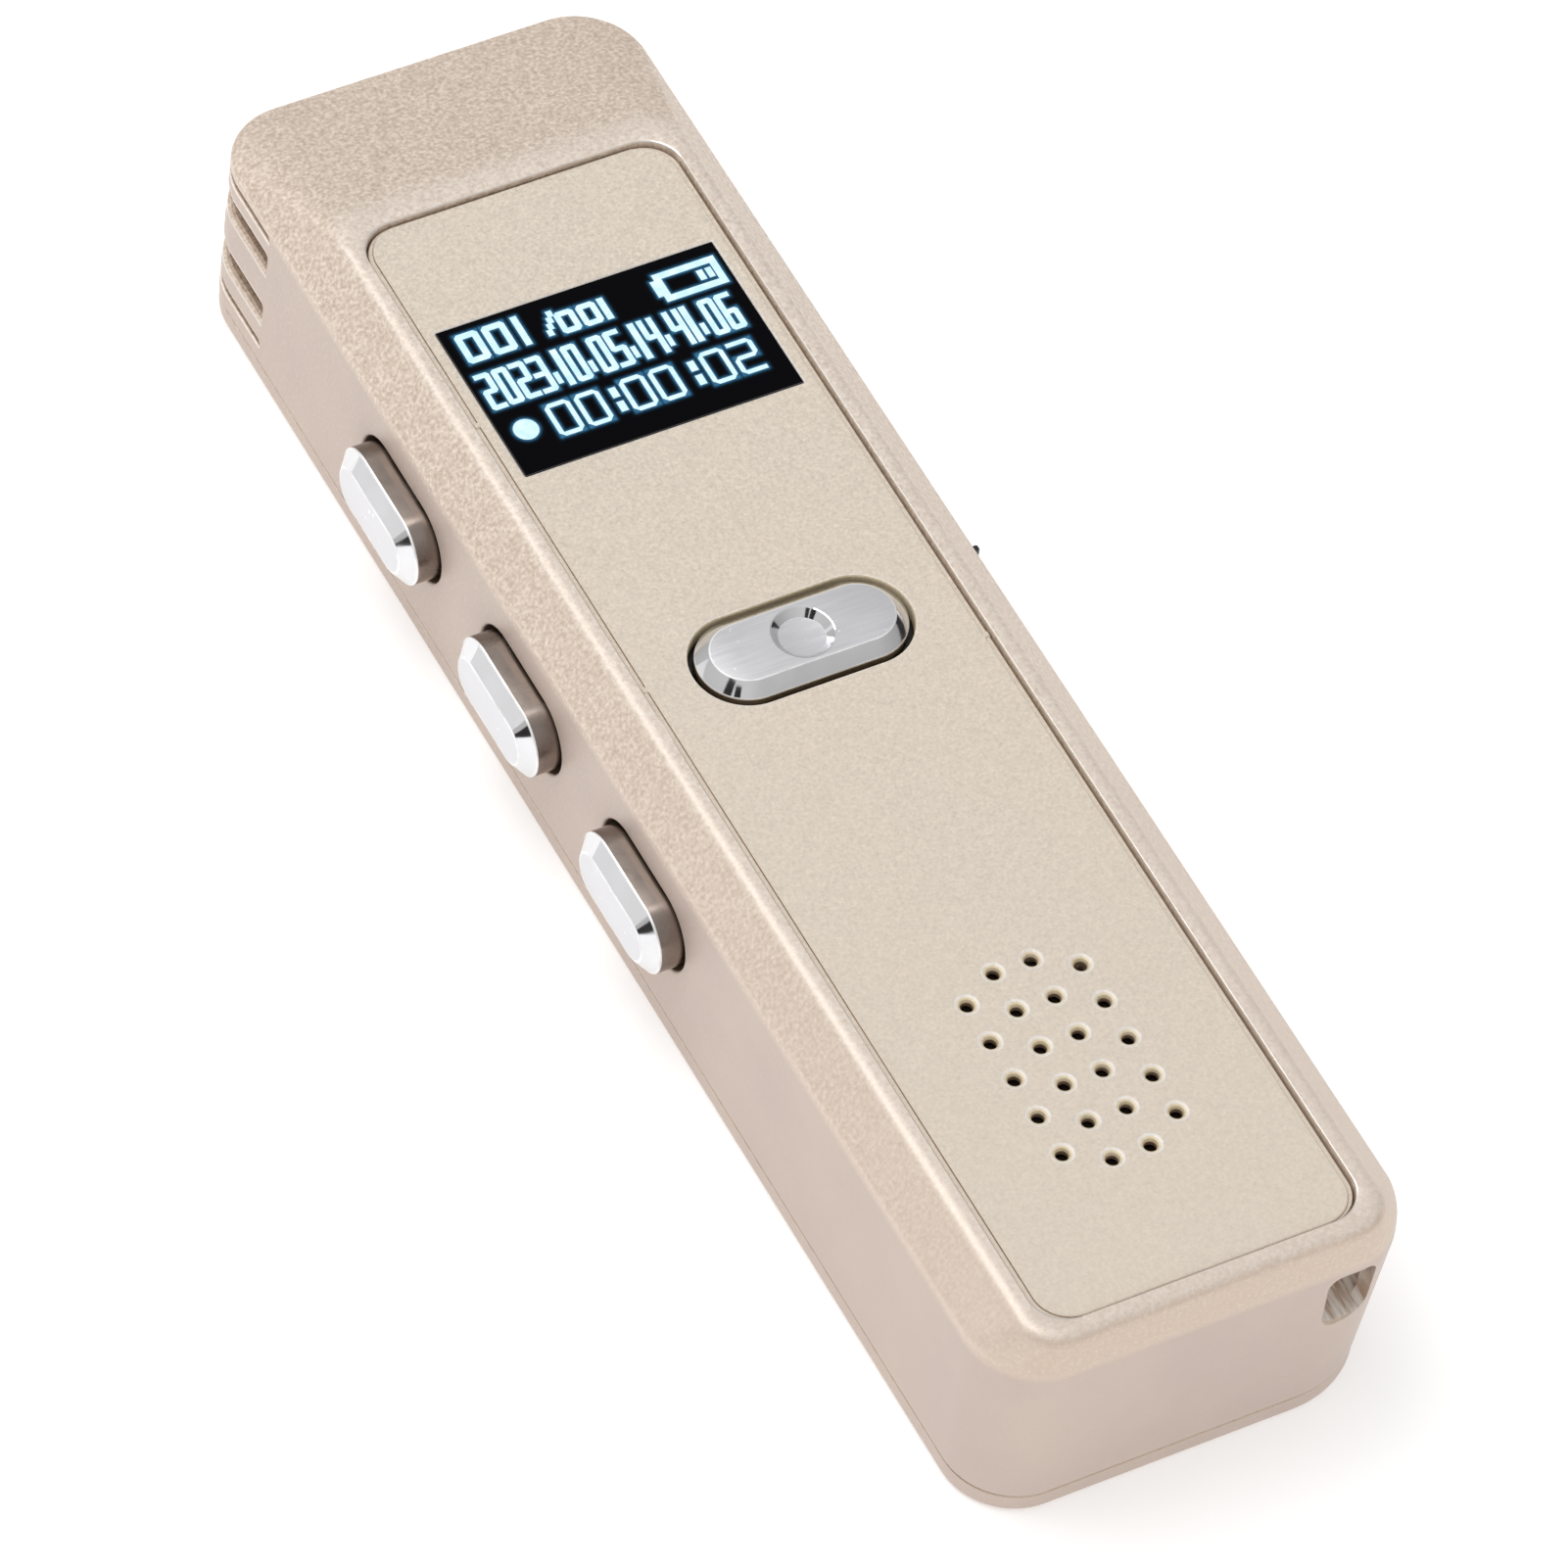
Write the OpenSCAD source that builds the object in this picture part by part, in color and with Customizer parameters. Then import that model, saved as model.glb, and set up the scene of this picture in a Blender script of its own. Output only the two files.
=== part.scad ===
// Handheld voice recorder, lying on its back, in millimetres.
// Origin: centre of the back cover's flat face. +Z is the front, +Y the microphone end,
// -X the side with the three buttons.

/* [Body] */
// Length of the body along Y
body_l = 100; // [99:0.5:104]
// Width of the body along X, without the side buttons
body_w = 27; // [26.5:0.25:28]
// Height from the back to the crest of the front rim
body_h = 16; // [15.8:0.1:16.6]
// Height at which the upright sides end and the sloping shoulders begin
shoulder_z = 13.4; // [13.3:0.1:13.6]
// Plan radius of the four body corners
corner_r = 4.4; // [4.2:0.1:4.6]
// Thickness of the upright walls
wall = 1.3; // [1.2:0.05:1.35]

/* [Back cover] */
// Thickness of the back cover
cover_t = 1.6; // [1.5:0.1:1.7]
// How far the cover's edge stands in from the case
cover_inset = 0.06; // [0.04:0.02:0.3]
// Radius along the cover's lower edge
cover_edge_r = 0.5; // [0.4:0.05:0.9]

/* [Front] */
// Width of the front panel
panel_w = 20.3; // [20:0.1:20.5]
// Length of the front panel
panel_l = 85.5; // [85:0.1:85.8]
// Thickness of the front panel
panel_t = 1.0; // [0.9:0.05:1.1]
// Depth of the front panel's face below the rim's crest
panel_drop = 0.3; // [0.2:0.05:0.4]
// Width of the display window
window_w = 18.3; // [17.5:0.1:18.5]
// Length of the display window along Y
window_l = 11.8; // [11.5:0.1:12]
// Diameter of a speaker hole
speaker_hole_d = 0.8; // [0.6:0.05:0.9]

/* [Buttons] */
// Length of the record button's foot
record_l = 13.5; // [13:0.1:13.6]
// Width of the record button's foot
record_w = 6.1; // [5.9:0.1:6.2]
// Travel of the record button
record_travel = 0.35; // [0.2:0.05:0.4]
// Length of a side button
side_l = 9.7; // [9.4:0.1:9.8]
// Width of a side button
side_w = 4.9; // [4.6:0.1:5]
// Height of a side button above the case
side_out = 2.1; // [1.8:0.1:2.3]
// Travel of a side button
side_travel = 0.4; // [0.2:0.05:0.4]
// Travel of the power knob
knob_travel = 2; // [1.5:0.1:2]

/* [Hidden] */
$fn = 64;
eps = 0.01;
// How far joined pieces run into each other, in height and into a wall
merge = 0.2;
bite = 0.3;
half_w = body_w / 2;
half_l = body_l / 2;
inner_w = half_w - wall;
inner_l = half_l - wall;

// Front rim and the recess that holds the panel
rim_half_w = half_w - 2.3;
rim_bottom_y = 0.15 - half_l;
rim_top_y = half_l - 11.8;
rim_r = 2.1;
panel_y = rim_top_y - 1.1 - panel_l / 2;
panel_r = 2.2;
panel_gap = 0.15;
panel_top_z = body_h - panel_drop;
panel_z = panel_top_z - panel_t;
ceiling_z = panel_z - 1.2;
cap_ceiling_z = 12.2;
cap_y = rim_top_y - 0.8;

// Display
window_y = panel_y + 28.57;
window_r = 0.15;
lens_gap = 0.05;
lens_r = 0.1;
lens_t = 0.7;
display_y = window_y;
display_open = [17.6, 11.2];
display_back = [20.8, 15, 1.1];
display_tape_t = 0.1;
flex_w = 8;
flex_t = 0.12;
flex_bend = 1.2;
flex_y = display_y - display_back[1] / 2;
flex_z = 0.4;

// Record button
record_gap = 0.28;
record_cut_r = record_w / 2 + record_gap;
record_mouth = 0.2;
record_base_z = panel_top_z - 2.2;
record_flange_edge = 0.55;
record_rise = 0.8;
record_chamfer = 0.75;
record_flange_t = 1;
dish_r = 1.87;
dish_floor_r = 1.42;
dish_depth = 0.45;

// Speaker
speaker_y = panel_y - 26.92;
speaker_pitch_y = 2.81;
speaker_mouth = 0.2;
speaker_columns = [[-3.65, 5], [-1.215, 6], [1.215, 6], [3.65, 5]];
speaker_straight = 5.6;
speaker_open_r = 5.1;
speaker_r = 6.5;
speaker_top_z = ceiling_z - 0.3;
speaker_h = 3.4;
speaker_wall = 0.8;
speaker_magnet_r = 4.2;

// Side buttons: the centre of the row of three, its pitch, and the height of all
side_z = 7.9;
side_ys = [-7.75, 7.75, 23.2];
side_gap = 0.25;
side_straight_out = 1.35;
side_chamfer = 1.0;
side_flange_t = 0.6;
side_flange_edge = 0.65;

// Main board
board_z = 5.9;
board_t = 0.8;
board_top = board_z + board_t;
board_half_w = 10.9;
board_y0 = -40.5;
board_y1 = half_l - 3.2;
board_narrow_y = half_l - 10;
board_narrow_half_w = 9;
board_hole_r = 0.9;
board_screws = [[-9.6, -22], [9.6, -22], [-9.6, 33.3], [9.6, 33.3]];
case_screws = [[-9.3, -45.2], [9.3, -45.2], [-9.9, 38.4], [9.9, 38.4]];
boss_r = 1.8;
screw_r = 0.7;
screw_head_r = 1.4;
case_head_t = 0.9;
board_head_t = 0.8;
cross_l = 1.8;
cross_w = 0.35;
cross_depth = 0.4;
case_screw_l = 6.2;
board_screw_l = 4;

// Switch under the record button, and the side switches
record_switch_size = [6, 6, 3.7];
record_stem_r = 1.2;
switch_front_x = -10.7;
switch_size = [3.3, 4.7, 2.4];
stem_size = [1.6, 1.7, 0.9];
stem_gap = 0.1;

// Power switch on the +X side
knob_y = 4.8;
knob_z = 10.4;
knob_size = [0.35, 8, 3];
knob_plate_t = 0.8;
knob_plate_edge = [2.5, 0.7];
knob_rib_t = 0.4;
knob_rib_h = 0.3;
knob_ridge_h = 0.8;
knob_clearance = 0.1;
knob_plate_x = inner_w - 0.1 - knob_plate_t;
power_lever_z = 8.4;
power_lever_size = [1.7, 1.2, 0.9];
power_switch_size = [3.2, 7.6, 3];

// Microphones and their grooves
mic_y = half_l - 6.6;
mic_z = 7.85;
mic_r = 2;
groove_y = half_l - 8.7;
groove_run = half_l - corner_r - groove_y;
groove_deep = 0.8;
groove_deep_h = 1.88;
groove_deep_zs = [mic_z - 3.15, mic_z + 1.3];
groove_thin = 0.4;
groove_thin_h = 0.5;
groove_thin_zs = [mic_z - 4.8, mic_z + 4.6];
mic_hole_r = 0.4;
mic_hole_zs = [mic_z - 1.7, mic_z + 2.75];
mic_l = 1.8;
mic_boot_size = [2.65, 5.4, 5.4];

// Sockets at the +Y end
usb_x = 3.6;
usb_size = [8.94, 7.4, 3.26];
usb_wall = 0.3;
usb_tongue_size = [6.8, 6.1, 0.7];
usb_set_back = 0.3;
usb_z = board_top + usb_size[2] / 2;
jack_x = -4.7;
jack_z = 9.4;
jack_bore_r = 1.8;
jack_barrel_r = 2.5;
jack_bore_l = 14;
jack_body_size = [6.4, 13, 5.4];

// Strap windows round the corner at +X, -Y
strap_z0 = 8.05;
strap_z1 = 12.1;
strap_x = 7.6;
strap_w = 3;
strap_block_wall = 1.7;
strap_block_l = 6.4;
strap_block_step = 3;
strap_skin = 1.2;
strap_gap = 1.9;
strap_plate_t = 0.35;

// Battery
battery_size = [17.6, 62, 3.6];
battery_y = -6;
tape_t = 0.2;
pocket_floor = 1.1;

champagne = "#CBBCB2";
beige = "#DBCFC0";
steel = "#C8C8CA";

// ---- Shared shapes ----

// Rectangle with round corners, centred
module round_rect(w, l, r) {
    square([w - 2 * r, l], center = true);
    square([w, l - 2 * r], center = true);
    for (x = [-1, 1], y = [-1, 1])
        translate([x * (w / 2 - r), y * (l / 2 - r)]) circle(r);
}

// Stadium along X: a straight run with a round end of radius r on each side
module stadium(straight, r) {
    square([straight, 2 * r], center = true);
    for (x = [-1, 1]) translate([x * straight / 2, 0]) circle(r);
}

module stadium_block(straight, r, h) {
    linear_extrude(h) stadium(straight, r);
}

// Stadium along X whose edge follows a half profile given as [radius, height] points
module stadium_turned(straight, profile) {
    for (side = [0, 180])
        rotate(side) translate([straight / 2, 0, 0]) rotate(-90)
            rotate_extrude(angle = 180) polygon(profile);
    for (side = [0, 180])
        rotate(side) rotate([90, 0, -90]) linear_extrude(straight, center = true) polygon(profile);
}

// Plate with round corners whose whole edge follows a half profile
module plate_turned(w, l, r, profile) {
    for (x = [0, 1], y = [0, 1]) mirror([x, 0, 0]) mirror([0, y, 0])
        translate([w / 2 - r, l / 2 - r, 0]) rotate_extrude(angle = 90) polygon(profile);
    for (side = [0, 1]) mirror([side, 0, 0])
        translate([w / 2 - r, 0, 0]) rotate([90, 0, 0])
            linear_extrude(l - 2 * r, center = true) polygon(profile);
    for (side = [0, 1]) mirror([0, side, 0])
        translate([0, l / 2 - r, 0]) rotate([90, 0, 90])
            linear_extrude(w - 2 * r, center = true) polygon(profile);
}

// Profile that follows the corner from the +X side round to the +Y end, as mic grooves do
module corner_sweep(run_y, profile) {
    translate([half_w - corner_r, half_l - corner_r, 0]) {
        rotate_extrude(angle = 90) polygon(profile);
        rotate([90, 0, 0]) linear_extrude(run_y) polygon(profile);
    }
}

module body_outline(inset = 0) {
    round_rect(body_w - 2 * inset, body_l - 2 * inset, corner_r - inset);
}

// Lays a shape built upwards so that up becomes -X, and its X runs along Y
module facing_left() {
    rotate([0, -90, 0]) rotate([0, 0, 90]) children();
}

// ---- Case ----

module shoulders() {
    hull() {
        translate([0, 0, shoulder_z - 0.2]) linear_extrude(0.2) body_outline(0.03, $fn = 32);
        translate([0, (rim_top_y + rim_bottom_y) / 2, body_h - 0.2])
            linear_extrude(0.2) round_rect(2 * rim_half_w, rim_top_y - rim_bottom_y, rim_r, $fn = 32);
    }
}

module case_shell() {
    difference() {
        union() {
            translate([0, 0, cover_t]) linear_extrude(shoulder_z - cover_t) body_outline();
            shoulders();
        }
        translate([0, 0, cover_t - 1]) linear_extrude(ceiling_z - cover_t + 1) body_outline(wall);
        translate([0, panel_y, panel_z])
            linear_extrude(body_h)
                round_rect(panel_w + 2 * panel_gap, panel_l + 2 * panel_gap, panel_r + panel_gap);
    }
}

// Material added inside the shell: under the cap, at the strap corner, and the screw bosses
module case_inside() {
    rise = ceiling_z - cover_t + merge;
    x0 = strap_x - strap_block_wall;
    y0 = -inner_l - bite;
    translate([-inner_w - bite, cap_y, cap_ceiling_z])
        cube([2 * (inner_w + bite), inner_l - corner_r + strap_block_step - cap_y,
            ceiling_z + merge - cap_ceiling_z]);
    translate([x0, y0, cover_t]) cube([inner_w - strap_block_step - x0, strap_block_l, rise]);
    translate([x0, y0 + strap_block_step, cover_t])
        cube([inner_w - x0 + bite, strap_block_l - strap_block_step, rise]);
    translate([half_w - corner_r, corner_r - half_l, cover_t]) cylinder(r = corner_r - 0.5, h = rise);
    for (p = case_screws)
        translate([p[0], p[1], cover_t]) cylinder(r = boss_r, h = rise);
    for (p = board_screws)
        translate([p[0], p[1], board_top]) cylinder(r = boss_r, h = ceiling_z - board_top + merge);
}

module screw_pilots() {
    for (p = case_screws)
        translate([p[0], p[1], cover_t - 1]) cylinder(r = screw_r, h = case_screw_l);
    for (p = board_screws)
        translate([p[0], p[1], board_top - 1]) cylinder(r = screw_r, h = board_screw_l + 0.4);
}

// Louvred grooves over a microphone: two deep ones between two thin ones
module mic_grooves() {
    skin = corner_r + 0.3;
    floor_rise = 1.5;
    floor_start = floor_rise * (skin - corner_r) / groove_deep;
    for (z = groove_thin_zs)
        corner_sweep(groove_run, [[corner_r - groove_thin, z - groove_thin_h / 2],
            [skin, z - groove_thin_h / 2], [skin, z + groove_thin_h / 2],
            [corner_r - groove_thin, z + groove_thin_h / 2]]);
    for (z = groove_deep_zs)
        corner_sweep(groove_run, [[skin, z - floor_start], [skin, z + groove_deep_h],
            [corner_r - groove_deep, z + groove_deep_h], [corner_r - groove_deep, z + floor_rise]]);
}

module mic_cuts() {
    mic_grooves();
    for (z = mic_hole_zs)
        translate([half_w - groove_deep, mic_y, z])
            rotate([0, 90, 0]) cylinder(r = mic_hole_r, h = 2 * wall, center = true);
}

module side_cuts() {
    for (y = side_ys)
        translate([-inner_w + 1, y, side_z]) facing_left()
            stadium_block(side_l - side_w, side_w / 2 + side_gap, wall + 2);
}

module knob_cut() {
    translate([inner_w - 1, knob_y - knob_size[1] / 2 - knob_clearance,
        knob_z - knob_size[2] / 2 - knob_clearance])
        cube([wall + 2, knob_size[1] + knob_travel + 2 * knob_clearance,
            knob_size[2] + 2 * knob_clearance]);
}

module socket_cuts() {
    translate([usb_x, inner_l - 1, usb_z]) rotate([-90, 0, 0])
        stadium_block(usb_size[0] - usb_size[2], usb_size[2] / 2 + 0.12, wall + 2);
    translate([jack_x, inner_l - 1, jack_z]) rotate([-90, 0, 0])
        cylinder(r = jack_barrel_r + 0.1, h = wall + 2);
}

// Windows on the end and on the side, and the passage that joins them behind the corner
module strap_cut() {
    passage_r1 = corner_r - strap_skin;
    passage_r0 = passage_r1 - strap_gap;
    reach = corner_r + 1;
    run = half_w - corner_r - strap_x;
    translate([half_w - corner_r, corner_r - half_l, strap_z0])
        linear_extrude(strap_z1 - strap_z0) {
            difference() {
                intersection() {
                    circle(passage_r1);
                    translate([0, -reach]) square(reach);
                }
                circle(passage_r0);
            }
            translate([-run, -reach]) square([strap_w, reach - passage_r0]);
            translate([passage_r0, run - strap_w]) square([reach - passage_r0, strap_w]);
        }
}

module front_openings() {
    translate([0, display_y, ceiling_z - 1]) linear_extrude(4)
        round_rect(display_open[0], display_open[1], 0.5);
    translate([0, 0, ceiling_z - 1])
        stadium_block(record_l - record_w, record_cut_r + 0.5, 4);
    translate([0, speaker_y, ceiling_z - 1]) rotate(90)
        stadium_block(speaker_straight, speaker_open_r, 4);
}

module upper_case() {
    color(champagne) difference() {
        union() {
            case_shell();
            case_inside();
        }
        screw_pilots();
        mic_cuts();
        mirror([1, 0, 0]) mic_cuts();
        side_cuts();
        knob_cut();
        socket_cuts();
        strap_cut();
        front_openings();
    }
}

module back_cover() {
    r = corner_r - cover_inset;
    e = cover_edge_r;
    arc = [for (a = [0:10:90]) [r - e + e * sin(a), e - e * cos(a)]];
    color(champagne) difference() {
        union() {
            plate_turned(body_w - 2 * cover_inset, body_l - 2 * cover_inset, r,
                concat([[0, 0]], arc, [[r, cover_t], [0, cover_t]]));
            translate([0, 0, cover_t / 2])
                cube([body_w - 2 * cover_inset - 2 * r, body_l - 2 * cover_inset - 2 * r, cover_t],
                    center = true);
        }
        translate([0, battery_y, pocket_floor + 1])
            cube([battery_size[0] + 1, battery_size[1] + 6, 2], center = true);
        for (p = case_screws) translate([p[0], p[1], 0]) {
            translate([0, 0, -eps]) cylinder(r = screw_head_r + 0.1, h = case_head_t + 0.1 + eps);
            cylinder(r = screw_r + 0.1, h = 2 * cover_t);
        }
    }
}

module front_panel() {
    color(beige) difference() {
        translate([0, panel_y, panel_z]) linear_extrude(panel_t) round_rect(panel_w, panel_l, panel_r);
        translate([0, window_y, panel_z - 1]) linear_extrude(4) round_rect(window_w, window_l, window_r);
        translate([0, 0, panel_z - 1])
            stadium_block(record_l - record_w, record_cut_r, 4);
        translate([0, 0, panel_top_z - record_mouth])
            stadium_turned(record_l - record_w, [[0, 0], [record_cut_r, 0],
                [record_cut_r + 2 * record_mouth, 2 * record_mouth], [0, 2 * record_mouth]]);
        for (column = speaker_columns, i = [0:column[1] - 1])
            translate([column[0], speaker_y + (i - (column[1] - 1) / 2) * speaker_pitch_y, 0]) {
                translate([0, 0, panel_z - 1]) cylinder(d = speaker_hole_d, h = 4, $fn = 24);
                translate([0, 0, panel_top_z - speaker_mouth])
                    cylinder(d1 = speaker_hole_d, d2 = speaker_hole_d + 3 * speaker_mouth,
                        h = 1.5 * speaker_mouth, $fn = 24);
            }
    }
}

// ---- Display ----

module display_lens() {
    color("#0B0C10") translate([0, window_y, panel_top_z - lens_t])
        linear_extrude(lens_t) round_rect(window_w - 2 * lens_gap, window_l - 2 * lens_gap, lens_r);
}

module display_panel() {
    face = [display_open[0] - 0.4, display_open[1] - 0.4];
    color("#15171C") translate([0, display_y, 0]) {
        translate([0, 0, ceiling_z - display_tape_t - display_back[2]])
            linear_extrude(display_back[2]) square([display_back[0], display_back[1]], center = true);
        translate([0, 0, ceiling_z - 2 * display_tape_t])
            linear_extrude(panel_top_z - lens_t - ceiling_z + display_tape_t + 0.05)
                square(face, center = true);
    }
}

module display_tape() {
    color("#2A2A2C") translate([0, display_y, ceiling_z - display_tape_t])
        linear_extrude(display_tape_t) difference() {
            square([display_back[0], display_back[1]], center = true);
            square([display_open[0], display_open[1]], center = true);
        }
}

// Flat cable from behind the display down into its socket on the board
module display_flex() {
    top = ceiling_z - display_tape_t - display_back[2];
    low = board_top + flex_z;
    color("#B0752A") rotate([90, 0, 90]) linear_extrude(flex_w, center = true)
        polygon([[flex_y + 2, top], [flex_y - flex_bend, top], [flex_y - flex_bend, low],
            [flex_y + 1, low], [flex_y + 1, low + flex_t],
            [flex_y - flex_bend + flex_t, low + flex_t], [flex_y - flex_bend + flex_t, top - flex_t],
            [flex_y + 2, top - flex_t]]);
}

module flex_socket() {
    color("#D8D2C4") difference() {
        translate([-flex_w / 2 - 0.9, flex_y - 0.4, board_top]) cube([flex_w + 1.8, 2.6, 0.9]);
        translate([-flex_w / 2 - 0.1, flex_y - 1, board_top + flex_z - 0.05])
            cube([flex_w + 0.2, 2.1, flex_t + 0.1]);
    }
}

// ---- Electronics ----

module main_board() {
    color("#1F5A3A") difference() {
        translate([0, 0, board_z]) linear_extrude(board_t) {
            translate([-board_half_w, board_y0])
                square([2 * board_half_w, board_narrow_y - board_y0]);
            translate([-board_narrow_half_w, board_narrow_y - 1])
                square([2 * board_narrow_half_w, board_y1 - board_narrow_y + 1]);
        }
        for (p = board_screws) translate([p[0], p[1], board_z - 1]) cylinder(r = board_hole_r, h = 3);
        for (p = case_screws)
            translate([p[0], p[1], board_z - 1]) cylinder(r = boss_r + 0.3, h = 3);
    }
}

module chip(x, y, size) {
    translate([x - size[0] / 2, y - size[1] / 2, board_top]) cube(size);
}

module processor_chip() { color("#222226") chip(0, 9.5, [7, 7, 0.9]); }

module memory_chip() { color("#26262A") chip(0, -12, [12, 8, 1]); }

module power_chip() { color("#222226") chip(5.2, -21.2, [4, 4, 0.8]); }

module crystal() { color(steel) chip(-5.8, 6.8, [1.6, 3.2, 0.7]); }

// Small resistors and capacitors in rows beside the chips
module board_parts() {
    color("#8C6A4A") {
        for (i = [0:5]) chip(-5 + 2 * i, 4.6, [0.6, 1, 0.5]);
        for (i = [0:5]) chip(-5 + 2 * i, -18.3, [0.6, 1, 0.5]);
        for (i = [0:3]) chip(-6.4 + 1.5 * i, -21.5, [0.8, 1.6, 0.8]);
        for (i = [0:4]) chip(-5 + 2.5 * i, 32, [0.8, 1.6, 0.8]);
    }
}

module battery() {
    color("#B9BCC0") translate([0, battery_y, pocket_floor + tape_t]) {
        linear_extrude(battery_size[2]) round_rect(battery_size[0], battery_size[1], 1);
    }
}

module battery_board() {
    color("#1F5A3A") translate([0, battery_y + battery_size[1] / 2 + 1, pocket_floor + tape_t + 1.6])
        cube([battery_size[0] - 2, 2, 0.8], center = true);
}

module battery_tape() {
    color("#E8E4D8") translate([0, battery_y, pocket_floor]) linear_extrude(tape_t)
        square([battery_size[0] - 4, battery_size[1] - 8], center = true);
}

// Two leads that rise from the battery's own board to the main board
module battery_leads() {
    base = pocket_floor + tape_t + 2;
    for (x = [-1.5, 1.5])
        color(x < 0 ? "#20201F" : "#B02A22")
            translate([x, battery_y + battery_size[1] / 2 + 1.2, base])
                cylinder(r = 0.4, h = board_z - base);
}

module speaker_pill(r, h) {
    translate([0, speaker_y, 0]) rotate(90) stadium_block(speaker_straight, r, h);
}

module speaker_frame() {
    color("#9A9CA0") difference() {
        translate([0, 0, speaker_top_z - speaker_h]) speaker_pill(speaker_r, speaker_h);
        translate([0, 0, speaker_top_z - speaker_h + 0.6])
            speaker_pill(speaker_r - speaker_wall, speaker_h);
        translate([0, speaker_y, speaker_top_z - speaker_h - 1])
            cylinder(r = speaker_magnet_r + 0.1, h = 3);
    }
}

module speaker_magnet() {
    color("#5C5E62") translate([0, speaker_y, speaker_top_z - speaker_h - 0.9])
        cylinder(r = speaker_magnet_r, h = 2.4);
}

module speaker_cone() {
    color("#3A3A3C") {
        translate([0, 0, speaker_top_z - 0.9]) speaker_pill(speaker_r - speaker_wall - 0.1, 0.25);
        translate([0, speaker_y, speaker_top_z - 1.8]) cylinder(r = 2.6, h = 1);
    }
}

module speaker_gasket() {
    color("#303032") difference() {
        translate([0, 0, speaker_top_z]) speaker_pill(speaker_r, 0.3);
        translate([0, 0, speaker_top_z - 1]) speaker_pill(speaker_open_r + 0.2, 3);
    }
}

module speaker_mesh() {
    color("#26262A") translate([0, 0, panel_z - 0.25]) speaker_pill(speaker_open_r - 0.1, 0.25);
}

// ---- Microphones ----

module mic_capsule() {
    color("#A8A9AC") translate([inner_w - 0.6, mic_y, mic_z]) rotate([0, -90, 0])
        cylinder(r = mic_r, h = mic_l);
}

module mic_boot() {
    color("#2C2C2E") difference() {
        translate([inner_w - 0.05 - mic_boot_size[0], mic_y - mic_boot_size[1] / 2,
            mic_z - mic_boot_size[2] / 2]) cube(mic_boot_size);
        translate([inner_w - 3, mic_y, mic_z]) rotate([0, 90, 0]) cylinder(r = mic_r, h = mic_l + 0.6);
        for (z = [mic_z - 1.7, mic_z + 1.7]) translate([inner_w - 1, mic_y, z])
            rotate([0, 90, 0]) cylinder(r = mic_hole_r, h = 2);
    }
}

module mic_right() { mic_capsule(); }

module mic_left() { mirror([1, 0, 0]) mic_capsule(); }

module mic_boot_right() { mic_boot(); }

module mic_boot_left() { mirror([1, 0, 0]) mic_boot(); }

// ---- Sockets ----

module usb_shell() {
    r = usb_size[2] / 2;
    color(steel) translate([usb_x, half_l - usb_set_back, usb_z]) rotate([90, 0, 0]) difference() {
        stadium_block(usb_size[0] - 2 * r, r, usb_size[1]);
        translate([0, 0, -1]) stadium_block(usb_size[0] - 2 * r, r - usb_wall, usb_size[1] - 0.5 + 1);
    }
}

module usb_tongue() {
    color("#1C1C1E") translate([usb_x - usb_tongue_size[0] / 2,
        half_l - usb_set_back - usb_size[1] + 0.5, usb_z - usb_tongue_size[2] / 2]) cube(usb_tongue_size);
}

module jack_body() {
    color("#1C1C1E") translate([jack_x, 0, 0]) difference() {
        translate([-jack_body_size[0] / 2, half_l - jack_bore_l - 1, board_top]) cube(jack_body_size);
        translate([0, half_l + 1, jack_z]) rotate([90, 0, 0])
            cylinder(r = jack_barrel_r, h = jack_bore_l + 1);
    }
}

module jack_barrel() {
    color(steel) translate([jack_x, half_l, jack_z]) rotate([90, 0, 0]) difference() {
        cylinder(r = jack_barrel_r, h = jack_bore_l);
        translate([0, 0, -1]) cylinder(r = jack_bore_r, h = jack_bore_l + 0.4);
    }
}

// ---- Record button ----

module record_button() {
    r = record_w / 2;
    base_z = record_base_z;
    top_z = panel_top_z + record_rise;
    straight = record_l - record_w;
    color(steel) difference() {
        union() {
            translate([0, 0, base_z]) stadium_block(straight, r + record_flange_edge, record_flange_t);
            stadium_turned(straight, [[0, base_z], [r, base_z], [r, top_z - record_chamfer],
                [r - record_chamfer, top_z], [0, top_z]]);
        }
        translate([0, 0, top_z - dish_depth])
            cylinder(r1 = dish_floor_r, r2 = dish_r, h = dish_depth);
        translate([0, 0, top_z - eps]) cylinder(r = dish_r, h = 1);
    }
}

module record_stem() {
    base_z = board_top + record_switch_size[2] - 0.4;
    color("#38383A") translate([0, 0, base_z])
        cylinder(r = record_stem_r, h = record_base_z - base_z);
}

module record_switch() {
    color("#2B2B2D") difference() {
        translate([-record_switch_size[0] / 2, -record_switch_size[1] / 2, board_top])
            cube(record_switch_size);
        translate([0, 0, board_top + record_switch_size[2] - 1.1])
            cylinder(r = record_stem_r + 0.15, h = 3);
    }
}

// ---- Side buttons ----

// A button as it lies at one place along Y: skirt, chamfered head, and a flange inside the wall
module side_button(y) {
    r = side_w / 2;
    straight = side_l - side_w;
    flange_x = 0.1 + side_flange_t;
    head = wall + flange_x;
    color(steel) translate([-inner_w + flange_x, y, side_z]) facing_left() {
        stadium_block(straight, r + side_flange_edge, side_flange_t);
        stadium_turned(straight, [[0, 0], [r, 0], [r, head + side_straight_out],
            [r - side_chamfer, head + side_out], [0, head + side_out]]);
    }
}

module side_stem(y) {
    color("#38383A")
        translate([-inner_w + 0.1 + side_flange_t, y - stem_size[1] / 2, side_z - stem_size[2] / 2])
            cube(stem_size);
}

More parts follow.
